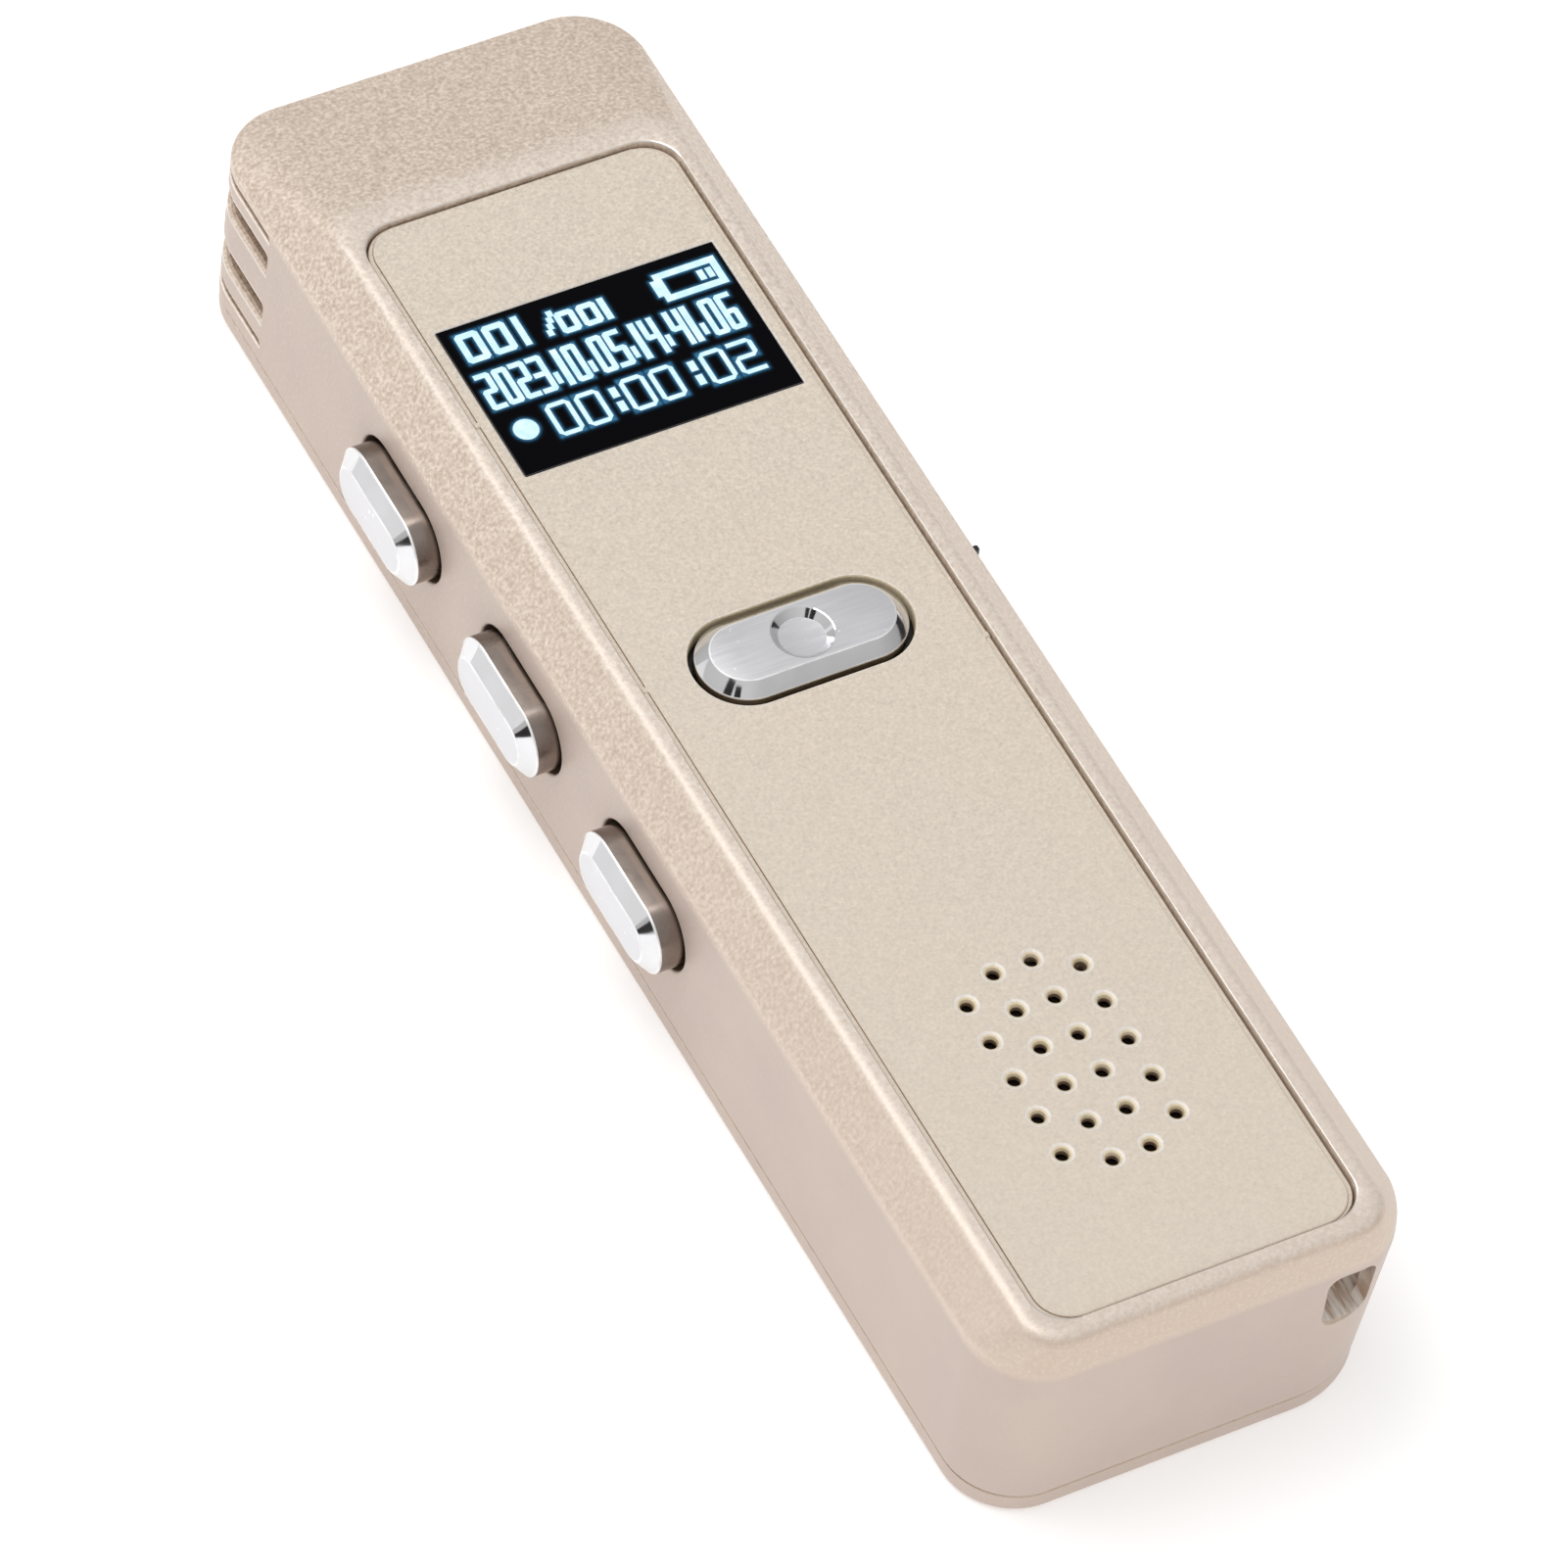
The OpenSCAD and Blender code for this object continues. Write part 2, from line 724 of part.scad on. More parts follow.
module side_switch(y) {
    color("#2B2B2D") difference() {
        translate([switch_front_x, y - switch_size[1] / 2, board_top]) cube(switch_size);
        translate([switch_front_x - 1, y - stem_size[1] / 2 - stem_gap,
            side_z - stem_size[2] / 2 - stem_gap])
            cube([2.5, stem_size[1] + 2 * stem_gap, stem_size[2] + 2 * stem_gap]);
    }
}

// ---- Power switch ----

module power_knob() {
    y0 = knob_y - knob_size[1] / 2;
    color("#1A1A1C") {
        translate([knob_plate_x, y0 - knob_plate_edge[0], knob_z - knob_size[2] / 2 - knob_plate_edge[1]])
            cube([knob_plate_t, knob_size[1] + 2 * knob_plate_edge[0],
                knob_size[2] + 2 * knob_plate_edge[1]]);
        translate([knob_plate_x, y0, knob_z - knob_size[2] / 2])
            cube([half_w - knob_plate_x + knob_size[0], knob_size[1], knob_size[2]]);
        for (i = [-3:3])
            translate([half_w - 0.5, knob_y + i - knob_rib_t / 2, knob_z - knob_size[2] / 2 + 0.2])
                cube([0.5 + knob_size[0] + (i == 0 ? knob_ridge_h : knob_rib_h), knob_rib_t,
                    knob_size[2] - 0.4]);
    }
}

module power_lever() {
    color("#E0DCD0") translate([knob_plate_x - power_lever_size[0], knob_y - power_lever_size[1] / 2,
        power_lever_z]) cube(power_lever_size);
}

module power_switch() {
    size = power_switch_size;
    slot_l = power_lever_size[1] + knob_travel + 2 * stem_gap;
    color("#9EA0A4") translate([knob_plate_x - 0.7 - size[0], knob_y + 1 - size[1] / 2, 0])
        difference() {
            translate([0, 0, board_top]) cube(size);
            translate([size[0] - 1.3, size[1] / 2 - 1.6 - stem_gap, power_lever_z - stem_gap])
                cube([3, slot_l, power_lever_size[2] + 2 * stem_gap]);
        }
}

// ---- Strap plate and screws ----

// Polished plate on the inner side of the strap passage
module strap_plate() {
    r = corner_r - strap_skin - strap_gap;
    color(steel) translate([half_w - corner_r, corner_r - half_l, strap_z0 + 0.05])
        rotate([0, 0, -90]) rotate_extrude(angle = 90)
            translate([r, 0]) square([strap_plate_t, strap_z1 - strap_z0 - 0.1]);
}

// Cross recess in a screw head whose outer face is at z = 0
module cross_recess() {
    translate([0, 0, -1]) linear_extrude(1 + cross_depth) {
        square([cross_l, cross_w], center = true);
        square([cross_w, cross_l], center = true);
    }
}

module case_screws() {
    color(steel) for (p = case_screws) translate([p[0], p[1], 0.1]) difference() {
        union() {
            cylinder(r = screw_head_r, h = case_head_t);
            cylinder(r = screw_r, h = case_screw_l - 0.3);
        }
        cross_recess();
    }
}

module board_screws() {
    color(steel) for (p = board_screws) translate([p[0], p[1], board_z]) difference() {
        union() {
            translate([0, 0, -board_head_t]) cylinder(r = screw_head_r, h = board_head_t);
            cylinder(r = screw_r, h = board_screw_l);
        }
        translate([0, 0, -board_head_t]) cross_recess();
    }
}

upper_case();
back_cover();
front_panel();
display_lens();
display_panel();
display_tape();
display_flex();
flex_socket();
main_board();
processor_chip();
memory_chip();
power_chip();
crystal();
board_parts();
battery();
battery_board();
battery_tape();
battery_leads();
speaker_frame();
speaker_magnet();
speaker_cone();
speaker_gasket();
speaker_mesh();
mic_left();
mic_right();
mic_boot_left();
mic_boot_right();
usb_shell();
usb_tongue();
jack_body();
jack_barrel();
record_button();
record_stem();
record_switch();
side_button(side_ys[0]);  // side_button_lower
side_button(side_ys[1]);  // side_button_middle
side_button(side_ys[2]);  // side_button_upper
side_stem(side_ys[0]);  // side_stem_lower
side_stem(side_ys[1]);  // side_stem_middle
side_stem(side_ys[2]);  // side_stem_upper
side_switch(side_ys[0]);  // side_switch_lower
side_switch(side_ys[1]);  // side_switch_middle
side_switch(side_ys[2]);  // side_switch_upper
power_knob();
power_lever();
power_switch();
strap_plate();
case_screws();
board_screws();
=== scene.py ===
"""Looks for a handheld voice recorder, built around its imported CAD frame.

Shapes are drawn in millimetres in the frame's own axes: +Z is the front, +Y the microphone end.
"""

import math

import bmesh
import bpy
from mathutils import Matrix, Vector


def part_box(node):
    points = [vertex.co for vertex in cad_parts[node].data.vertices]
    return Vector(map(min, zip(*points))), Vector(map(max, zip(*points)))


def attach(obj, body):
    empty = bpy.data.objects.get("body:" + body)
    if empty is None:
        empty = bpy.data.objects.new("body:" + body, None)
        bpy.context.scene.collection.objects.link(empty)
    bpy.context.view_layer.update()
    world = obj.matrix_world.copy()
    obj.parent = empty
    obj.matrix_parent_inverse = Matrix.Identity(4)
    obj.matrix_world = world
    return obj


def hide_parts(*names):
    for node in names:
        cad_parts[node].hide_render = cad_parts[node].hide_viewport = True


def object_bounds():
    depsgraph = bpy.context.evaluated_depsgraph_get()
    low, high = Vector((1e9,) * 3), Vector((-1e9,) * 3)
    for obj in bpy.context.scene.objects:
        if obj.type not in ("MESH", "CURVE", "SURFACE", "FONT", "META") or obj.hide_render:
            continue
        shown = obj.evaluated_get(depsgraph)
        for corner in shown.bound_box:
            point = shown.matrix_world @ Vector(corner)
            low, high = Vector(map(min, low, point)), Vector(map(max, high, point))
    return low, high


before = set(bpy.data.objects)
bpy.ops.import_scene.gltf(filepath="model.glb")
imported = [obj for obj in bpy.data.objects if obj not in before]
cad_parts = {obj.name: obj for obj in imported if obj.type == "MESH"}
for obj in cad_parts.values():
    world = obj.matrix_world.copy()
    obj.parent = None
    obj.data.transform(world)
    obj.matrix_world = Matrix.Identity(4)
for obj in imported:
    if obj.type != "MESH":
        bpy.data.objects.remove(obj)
cad_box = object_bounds()

MM = 0.001
CASE = "case"


def limits(node):
    """Lowest and highest corner of a CAD node, in millimetres."""
    low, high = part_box(node)
    return Vector(low) / MM, Vector(high) / MM


# ---- Sizes, from the frame ----

case_lo, case_hi = limits("upper_case")
panel_lo, panel_hi = limits("front_panel")
lens_lo, lens_hi = limits("display_lens")
record_lo, record_hi = limits("record_button")
cover_lo, cover_hi = limits("back_cover")
knob_lo, knob_hi = limits("power_knob")
usb_lo, usb_hi = limits("usb_shell")
jack_lo, jack_hi = limits("jack_barrel")
mesh_lo, mesh_hi = limits("speaker_mesh")
strap_lo, strap_hi = limits("strap_plate")
SIDE_BUTTONS = ("side_button_lower", "side_button_middle", "side_button_upper")

HALF_W = case_hi.x
HALF_L = case_hi.y
CREST_Z = case_hi.z
BASE_Z = case_lo.z
CORNER_R = 4.4
CORNER_STEPS = 16
STRAP_FOOT_R = 6.6
WALL = 1.3
SHOULDER_Z = 13.4

RIM_X = HALF_W - 2.3
RIM_Y0 = -HALF_L + 0.15
RIM_Y1 = HALF_L - 11.8
RIM_R = 2.1
PANEL_GAP = 0.15
PANEL_R = 2.2
PANEL_Z = panel_hi.z
LEDGE_Z = PANEL_Z - 0.12
RECESS_Z = panel_lo.z
CEILING_Z = RECESS_Z - 1.2
CAP_CEILING_Z = 12.2

MIC_Y = HALF_L - 6.6
MIC_Z = 7.85
GROOVE_Y = HALF_L - 8.7
STRAP_X0, STRAP_X1 = 7.6, 10.6
STRAP_Z0, STRAP_Z1 = strap_lo.z - 0.05, strap_hi.z + 0.05
STRAP_OUTER_R = CORNER_R - 1.2
STRAP_INNER_R = STRAP_OUTER_R - 1.9
STRAP_CORNER = Matrix.Translation((HALF_W - CORNER_R, -HALF_L + CORNER_R, 0))
SCREWS = [(-9.3, -45.2), (9.3, -45.2), (-9.9, 38.4), (9.9, 38.4)]

FLANGE = 0.65
SIDE_GAP = 0.3
SIDE_Z = 7.9
RECORD_STRAIGHT = 7.4
RECORD_R = 2.93
RECORD_CUT_R = 3.28
KNOB_Z = 10.4
KNOB_HALF_H = 1.5
KNOB_PLATE_END = 2.5
KNOB_TRAVEL = 2.0
KNOB_CLEARANCE = 0.1

SPEAKER_Y = (mesh_lo.y + mesh_hi.y) / 2
SPEAKER_STRAIGHT = 5.6
HOLE_COLUMNS = ((-3.65, 5), (-1.215, 6), (1.215, 6), (3.65, 5))
HOLE_PITCH = 2.81
USB_R = (usb_hi.z - usb_lo.z) / 2
USB_STRAIGHT = usb_hi.x - usb_lo.x - 2 * USB_R
JACK_R = (jack_hi.x - jack_lo.x) / 2


# ---- Mesh helpers ----

def plan(x, y0, y1, r, steps=CORNER_STEPS, strap_r=None):
    """Outline of a round-cornered rectangle, anticlockwise from +X +Y; its last corner is the strap's."""
    last = strap_r or r
    corners = ((x - r, y1 - r, 0, r), (r - x, y1 - r, 90, r), (r - x, y0 + r, 180, r),
               (x - last, y0 + last, 270, last))
    points = []
    for cx, cy, start, r in corners:
        for i in range(steps + 1):
            a = math.radians(start + 90 * i / steps)
            points.append(Vector((cx + r * math.cos(a), cy + r * math.sin(a))))
    return points


def pill(straight, r, steps=24):
    """Stadium outline along the first axis, centred on the origin."""
    points = []
    for side, start in ((1, -90), (-1, 90)):
        for i in range(steps + 1):
            a = math.radians(start + 180 * i / steps)
            points.append(Vector((side * straight / 2 + r * math.cos(a), r * math.sin(a))))
    return points


def circle(r, steps=48):
    """Round outline, centred on the origin."""
    angles = [2 * math.pi * i / steps for i in range(steps)]
    return [Vector((r * math.cos(a), r * math.sin(a))) for a in angles]


def arc(r, start, stop, step):
    """Points round the origin at whole degrees, from start up to but not including stop."""
    angles = [math.radians(a) for a in range(start, stop, step)]
    return [Vector((r * math.cos(a), r * math.sin(a))) for a in angles]


def box_outline(x0, y0, x1, y1):
    """Corners of a rectangle, anticlockwise from its lowest."""
    return [Vector((x0, y0)), Vector((x1, y0)), Vector((x1, y1)), Vector((x0, y1))]


def at(outline, z, shift=(0, 0)):
    """The outline laid flat at height z."""
    return [Vector((p.x + shift[0], p.y + shift[1], z)) for p in outline]


def bezier(a, b, c, steps):
    """Points of a quadratic curve from a to c that turns near b, both ends included."""
    return [a * (1 - t) ** 2 + b * 2 * t * (1 - t) + c * t * t for t in (i / steps for i in range(steps + 1))]


def from_bmesh(name, bm, materials=()):
    """New object from a bmesh drawn in millimetres."""
    bmesh.ops.recalc_face_normals(bm, faces=bm.faces)
    bmesh.ops.scale(bm, vec=(MM, MM, MM), verts=bm.verts)
    mesh = bpy.data.meshes.new(name)
    bm.to_mesh(mesh)
    bm.free()
    for m in materials:
        mesh.materials.append(m)
    piece = bpy.data.objects.new(name, mesh)
    bpy.context.collection.objects.link(piece)
    return piece


def loft(name, rings, materials=(), bands=None, caps=(0, 0), where=None, columns=None):
    """Closed skin through rings of equal counts, with a material per step or per column of faces."""
    bm = bmesh.new()
    if where is not None:
        rings = [[where @ p for p in ring] for ring in rings]
    rows = [[bm.verts.new(p) for p in ring] for ring in rings]
    count = len(rows[0])
    for step, (low, high) in enumerate(zip(rows, rows[1:])):
        for i in range(count):
            j = (i + 1) % count
            face = bm.faces.new((low[i], low[j], high[j], high[i]))
            face.material_index = columns[i] if columns else bands[step] if bands else 0
    for row, index in ((rows[0], caps[0]), (rows[-1], caps[1])):
        bm.faces.new(row).material_index = index
    bmesh.ops.remove_doubles(bm, verts=bm.verts, dist=1e-4)
    return from_bmesh(name, bm, materials)


def prism(name, outline, z0, z1, material_index=0, where=None):
    """Straight-sided cutter or block over an outline."""
    return loft(name, [at(outline, z0), at(outline, z1)], bands=[material_index],
                caps=(material_index, material_index), where=where)


def lathe_pill(name, straight, profile, materials=(), bands=None, caps=(0, 0), where=None, steps=24):
    """Loft through stadium outlines given as (radius, height) pairs."""
    rings = [at(pill(straight, r, steps), z) for r, z in profile]
    return loft(name, rings, materials, bands, caps, where)


def lathe(name, profile, materials=(), bands=None, caps=(0, 0), where=None, steps=48):
    """Loft through circles given as (radius, height) pairs."""
    return loft(name, [at(circle(r, steps), z) for r, z in profile], materials, bands, caps, where)


def combine(piece, others, operation="DIFFERENCE"):
    """Applies one boolean per other object, all of them closed solids, and removes the others."""
    for other in others:
        mod = piece.modifiers.new("cut", "BOOLEAN")
        mod.operation = operation
        mod.solver = "MANIFOLD"
        mod.material_mode = "INDEX"
        mod.object = other
        graph = bpy.context.evaluated_depsgraph_get()
        mesh = bpy.data.meshes.new_from_object(piece.evaluated_get(graph))
        old = piece.data
        piece.modifiers.clear()
        piece.data = mesh
        mesh.name = piece.name
        bpy.data.meshes.remove(old)
        bpy.data.meshes.remove(other.data)
    return piece


def tidy(piece, angle=30):
    """Merges doubled vertices and sets smooth shading, with sharp edges past the angle."""
    bm = bmesh.new()
    bm.from_mesh(piece.data)
    bmesh.ops.remove_doubles(bm, verts=bm.verts, dist=2e-6)
    bmesh.ops.dissolve_degenerate(bm, edges=bm.edges, dist=1e-7)
    bm.to_mesh(piece.data)
    bm.free()
    piece.data.shade_smooth()
    piece.data.set_sharp_from_angle(angle=math.radians(angle))
    return piece


def finish_piece(piece, body, replaced=(), angle=30, weighted=False):
    """Shading, body and the CAD nodes that the piece stands for."""
    tidy(piece, angle)
    if weighted:
        mod = piece.modifiers.new("normals", "WEIGHTED_NORMAL")
        mod.keep_sharp = True
        mod.weight = 80
    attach(piece, body)
    if replaced:
        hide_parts(*replaced)
    return piece


# ---- Materials ----

def srgb(*levels):
    """Linear colour from 0-255 display levels."""
    out = []
    for v in levels:
        c = v / 255
        out.append(c / 12.92 if c <= 0.04045 else ((c + 0.055) / 1.055) ** 2.4)
    return (*out, 1)


def scaled(color, factor):
    """The colour made darker or lighter."""
    return [min(c * factor, 1) for c in color[:3]] + [1]


class Look:
    """A principled material built from a few chained procedural nodes."""

    def __init__(self, name, color, metallic=0.0, roughness=0.5, **sockets):
        self.material = bpy.data.materials.new(name)
        self.material.use_nodes = True
        self.tree = self.material.node_tree
        self.shader = next(n for n in self.tree.nodes if n.type == "BSDF_PRINCIPLED")
        self.coords = self.tree.nodes.new("ShaderNodeTexCoord").outputs["Object"]
        self.shader.inputs["Base Color"].default_value = color
        self.shader.inputs["Metallic"].default_value = metallic
        self.shader.inputs["Roughness"].default_value = roughness
        for socket, value in sockets.items():
            self.shader.inputs[socket.replace("_", " ")].default_value = value
        self.height = None

    def node(self, kind, **inputs):
        """New node with its named inputs set or linked."""
        n = self.tree.nodes.new(kind)
        for key, value in inputs.items():
            self.set(n.inputs[key.replace("_", " ")], value)
        return n

    def set(self, socket, value):
        """Links an output to the socket, or sets its constant."""
        if isinstance(value, bpy.types.NodeSocket):
            self.tree.links.new(value, socket)
        else:
            socket.default_value = value

    def noise(self, size_mm, detail=2.0, rough=0.5, scale=None):
        """Noise whose blobs are about size_mm across, streaked where an axis is scaled down."""
        vector = self.coords
        if scale:
            vector = self.node("ShaderNodeMapping", Vector=vector, Scale=scale).outputs["Vector"]
        return self.node("ShaderNodeTexNoise", Vector=vector, Scale=0.5 / (size_mm * MM),
                         Detail=detail, Roughness=rough).outputs["Fac"]

    def ramp(self, value, low, high, out_low=0.0, out_high=1.0):
        """Maps low..high to out_low..out_high, clamped."""
        n = self.node("ShaderNodeMapRange", Value=value)
        for socket, v in zip(("From Min", "From Max", "To Min", "To Max"), (low, high, out_low, out_high)):
            n.inputs[socket].default_value = v
        return n.outputs["Result"]

    def math(self, operation, a, b):
        """Result of a two-input math node."""
        n = self.tree.nodes.new("ShaderNodeMath")
        n.operation = operation
        self.set(n.inputs[0], a)
        self.set(n.inputs[1], b)
        return n.outputs[0]

    def mix(self, factor, a, b):
        """Colour between a and b."""
        n = self.tree.nodes.new("ShaderNodeMix")
        n.data_type = "RGBA"
        self.set(n.inputs[0], factor)
        self.set(n.inputs[6], a)
        self.set(n.inputs[7], b)
        return n.outputs[2]

    def facing_up(self, low, high):
        """0 on walls to 1 on faces that look up, from the object's own normal."""
        normal = next(n for n in self.tree.nodes if n.type == "TEX_COORD").outputs["Normal"]
        split = self.node("ShaderNodeSeparateXYZ", Vector=normal)
        return self.ramp(split.outputs["Z"], low, high)

    def along(self, axis, low, high, out_low=0.0, out_high=1.0):
        """Maps one object axis, from low to high in millimetres, to out_low..out_high."""
        split = self.node("ShaderNodeSeparateXYZ", Vector=self.coords)
        return self.ramp(split.outputs[axis], low * MM, high * MM, out_low, out_high)

    def color(self, value):
        """Sets or links the base colour."""
        self.set(self.shader.inputs["Base Color"], value)

    def rough(self, value, out_low, out_high, low=0.3):
        """Roughness from out_low to out_high, as a noise value goes from low to 0.7."""
        self.set(self.shader.inputs["Roughness"], self.ramp(value, low, 0.7, out_low, out_high))

    def emit(self, color, strength=1.0):
        """Gives off light of its own."""
        self.set(self.shader.inputs["Emission Color"], color)
        self.set(self.shader.inputs["Emission Strength"], strength)

    def bump(self, height, depth_mm, strength=1.0):
        """Adds relief of depth_mm on top of any added before."""
        n = self.node("ShaderNodeBump", Height=height, Strength=strength, Distance=depth_mm * MM)
        if self.height is not None:
            self.set(n.inputs["Normal"], self.height)
        self.height = n.outputs["Normal"]
        self.set(self.shader.inputs["Normal"], self.height)


def sand_paint(name, upper, lower, crest, grain_light, grain_dark):
    """Champagne metal paint: sandy slopes, finer and pinker walls that are partly painted darker as shade, a
    foot slope painted darker as shade, and a painted highlight along the crest.
    """
    look = Look(name, upper, metallic=0.3, roughness=0.42)
    upward = look.facing_up(0.25, 0.6)
    slope = look.math("MAXIMUM", upward, look.along("Z", SHOULDER_Z - 0.9, SHOULDER_Z - 0.1))
    # Painted highlight: the crest is coloured bright in speckled patches where the light catches it.
    crest_highlight_mask = look.along("Z", CREST_Z - 0.38, CREST_Z - 0.08)
    patches = look.ramp(look.noise(0.14, 4.0, 0.7), 0.4, 0.64, 0.2, 0.52)
    # Walls take a darker, pinker colour than upward faces: partly their own smoother finish, partly painted
    # shade.
    base = look.mix(slope, lower, upper)
    base = look.mix(look.ramp(look.noise(3.0, 3.0), 0.35, 0.65, 0.0, 0.3), base, srgb(211, 193, 177))
    # Painted shade: the steep slope at the foot end is coloured darker.
    foot = look.math("MULTIPLY", slope, look.along("Y", -HALF_L + 0.4, -HALF_L + 3.4, 1.0, 0.0))
    base = look.mix(foot, base, srgb(208, 189, 172))
    grain = look.noise(0.13, 3.0, 0.6)
    strength = look.math("MULTIPLY", look.ramp(slope, 0, 1, 0.25, 1.0), look.along("Y", -45, 20, 0.45, 1.5))
    base = look.mix(look.math("MULTIPLY", look.ramp(grain, 0.5, 0.78), strength), base, grain_light)
    base = look.mix(look.math("MULTIPLY", look.ramp(grain, 0.5, 0.22), strength), base, grain_dark)
    # Painted highlight along the crest.
    painted_crest_glint = look.math("MULTIPLY", crest_highlight_mask, patches)
    look.color(look.mix(painted_crest_glint, base, crest))
    look.rough(grain, 0.36, 0.5)
    look.bump(look.math("MULTIPLY", grain, strength), 0.035, 0.65)
    return look.material


def panel_paint(name, color):
    """Matte beige plate with a fine, even grain."""
    look = Look(name, color, metallic=0.15, roughness=0.5)
    grain = look.noise(0.11, 3.0, 0.65)
    strength = look.along("Y", -45, 25, 0.6, 1.2)
    tone = look.mix(look.ramp(look.noise(5.0, 2.0), 0.35, 0.65, 0.0, 0.35), color, srgb(216, 206, 194))
    tone = look.mix(look.math("MULTIPLY", look.ramp(grain, 0.5, 0.78), strength), tone, scaled(color, 1.2))
    specks = look.math("MULTIPLY", look.ramp(grain, 0.48, 0.2), strength)
    look.color(look.mix(specks, tone, scaled(color, 0.8)))
    look.rough(grain, 0.42, 0.6)
    look.bump(grain, 0.02, 0.5)
    return look.material


def chrome():
    """Mirror plating with a trace of polishing haze."""
    look = Look("chrome", srgb(226, 226, 228), metallic=1.0, roughness=0.08)
    haze = look.noise(1.2, 3.0)
    look.rough(haze, 0.05, 0.14, 0.35)
    look.color(look.mix(look.ramp(haze, 0.3, 0.7, 0.0, 0.5), srgb(232, 232, 234), srgb(214, 213, 214)))
    look.bump(look.noise(2.5, 1.0), 0.006, 0.5)
    return look.material


def satin_steel(axis):
    """Brushed face whose lines run along the given axis, with a few tiny nicks."""
    look = Look("satin_steel_" + "xyz"[axis], srgb(222, 222, 225), metallic=0.9, roughness=0.34)
    scale = [1.0, 1.0, 1.0]
    scale[axis] = 0.04
    lines = look.noise(0.06, 2.0, 0.6, scale)
    nicks = look.ramp(look.noise(0.25, 2.0), 0.69, 0.74)
    tone = look.mix(look.ramp(lines, 0.3, 0.7), srgb(219, 219, 222), srgb(226, 226, 229))
    look.color(look.mix(nicks, tone, srgb(246, 246, 248)))
    look.rough(lines, 0.3, 0.42)
    look.bump(lines, 0.002, 0.3)
    look.bump(nicks, 0.004, 0.5)
    return look.material


def cast_metal():
    """Raw bright metal with uneven upright streaks, inside the strap passage, darkened to brown towards the
    front as painted shadow under the window's upper edge.
    """
    look = Look("cast_metal", srgb(226, 219, 212), metallic=0.15, roughness=0.35)
    streak = look.noise(0.18, 2.0, 0.5, (1.0, 0.14, 0.12))
    base = look.mix(look.ramp(streak, 0.34, 0.62), srgb(198, 174, 154), srgb(255, 251, 245))
    # Painted shadow: brown towards the front, under the window's upper edge.
    look.color(look.mix(look.along("Z", STRAP_Z0 + 1.8, STRAP_Z1 + 0.2), base, srgb(136, 108, 84)))
    look.rough(streak, 0.2, 0.4)
    look.bump(streak, 0.03, 0.6)
    return look.material


def plastic(name, color, roughness=0.45, grain_mm=0.12, depth_mm=0.008):
    """Moulded plastic or rubber with a fine spark texture."""
    look = Look(name, color, roughness=roughness)
    grain = look.noise(grain_mm, 2.0)
    look.color(look.mix(look.ramp(look.noise(2.0, 2.0), 0.3, 0.7, 0.0, 0.5), color, scaled(color, 0.75)))
    look.rough(grain, roughness - 0.08, roughness + 0.08)
    look.bump(grain, depth_mm)
    return look.material


def metal(name, color, roughness=0.3):
    """Plain worked metal with light mottling."""
    look = Look(name, color, metallic=1.0, roughness=roughness)
    mottle = look.noise(0.8, 4.0)
    look.color(look.mix(look.ramp(mottle, 0.35, 0.7), color, scaled(color, 0.8)))
    look.rough(mottle, roughness - 0.08, roughness + 0.1)
    look.bump(look.noise(0.2, 2.0), 0.004)
    return look.material


def circuit_board():
    """Green solder mask over copper tracks."""
    look = Look("solder_mask", srgb(24, 82, 54), roughness=0.35)
    tracks = look.node("ShaderNodeTexBrick", Vector=look.coords, Scale=260.0).outputs["Fac"]
    look.color(look.mix(tracks, srgb(22, 78, 50), srgb(46, 120, 74)))
    look.rough(look.noise(0.5), 0.28, 0.42)
    look.bump(tracks, 0.02)
    return look.material


def lit_glass():
    """Black display glass, with the blue bleed of the lit figures read from the glow attribute."""
    look = Look("display_black", (0.0015, 0.0015, 0.0025, 1), roughness=0.09, Specular_IOR_Level=0.04)
    glow = look.tree.nodes.new("ShaderNodeAttribute")
    glow.attribute_name = "glow"
    speckle = look.ramp(look.noise(0.12, 2.0), 0.3, 0.7, 0.75, 1.25)
    level = look.math("MULTIPLY", glow.outputs["Fac"], speckle)
    look.emit(look.mix(level, (0, 0, 0, 1), (0.04, 0.18, 0.34, 1)))
    look.rough(look.noise(6.0, 3.0), 0.07, 0.12)
    look.bump(look.noise(8.0, 1.0), 0.004, 0.3)
    return look.material


def lit_figure():
    """Pale cyan lit strokes."""
    look = Look("display_figures", srgb(20, 40, 60), roughness=0.3)
    level = look.ramp(look.noise(0.25, 2.0), 0.3, 0.7)
    look.emit(look.mix(level, (0.6, 0.9, 0.98, 1), (0.82, 0.98, 1.0, 1)))
    return look.material


PAINT = sand_paint("champagne_sand", srgb(220, 203, 187), srgb(196, 179, 169), srgb(244, 236, 228),
                   srgb(240, 226, 212), srgb(197, 177, 160))
GROOVE = sand_paint("champagne_shade", srgb(142, 116, 94), srgb(120, 97, 79), srgb(150, 128, 108),
                    srgb(158, 134, 112), srgb(104, 84, 68))
HALF_SHADE = sand_paint("champagne_half_shade", srgb(186, 165, 147), srgb(168, 147, 130), srgb(196, 176, 158),
                        srgb(204, 186, 170), srgb(158, 137, 120))
PANEL = panel_paint("beige_grain", srgb(220, 208, 192))
PANEL_EDGE = panel_paint("beige_cut", srgb(226, 210, 176))
# Painted light: a lighter beige for shaded cut walls and for highlights on hole and window edges.
PANEL_LIT = panel_paint("beige_painted_light", srgb(234, 228, 221))
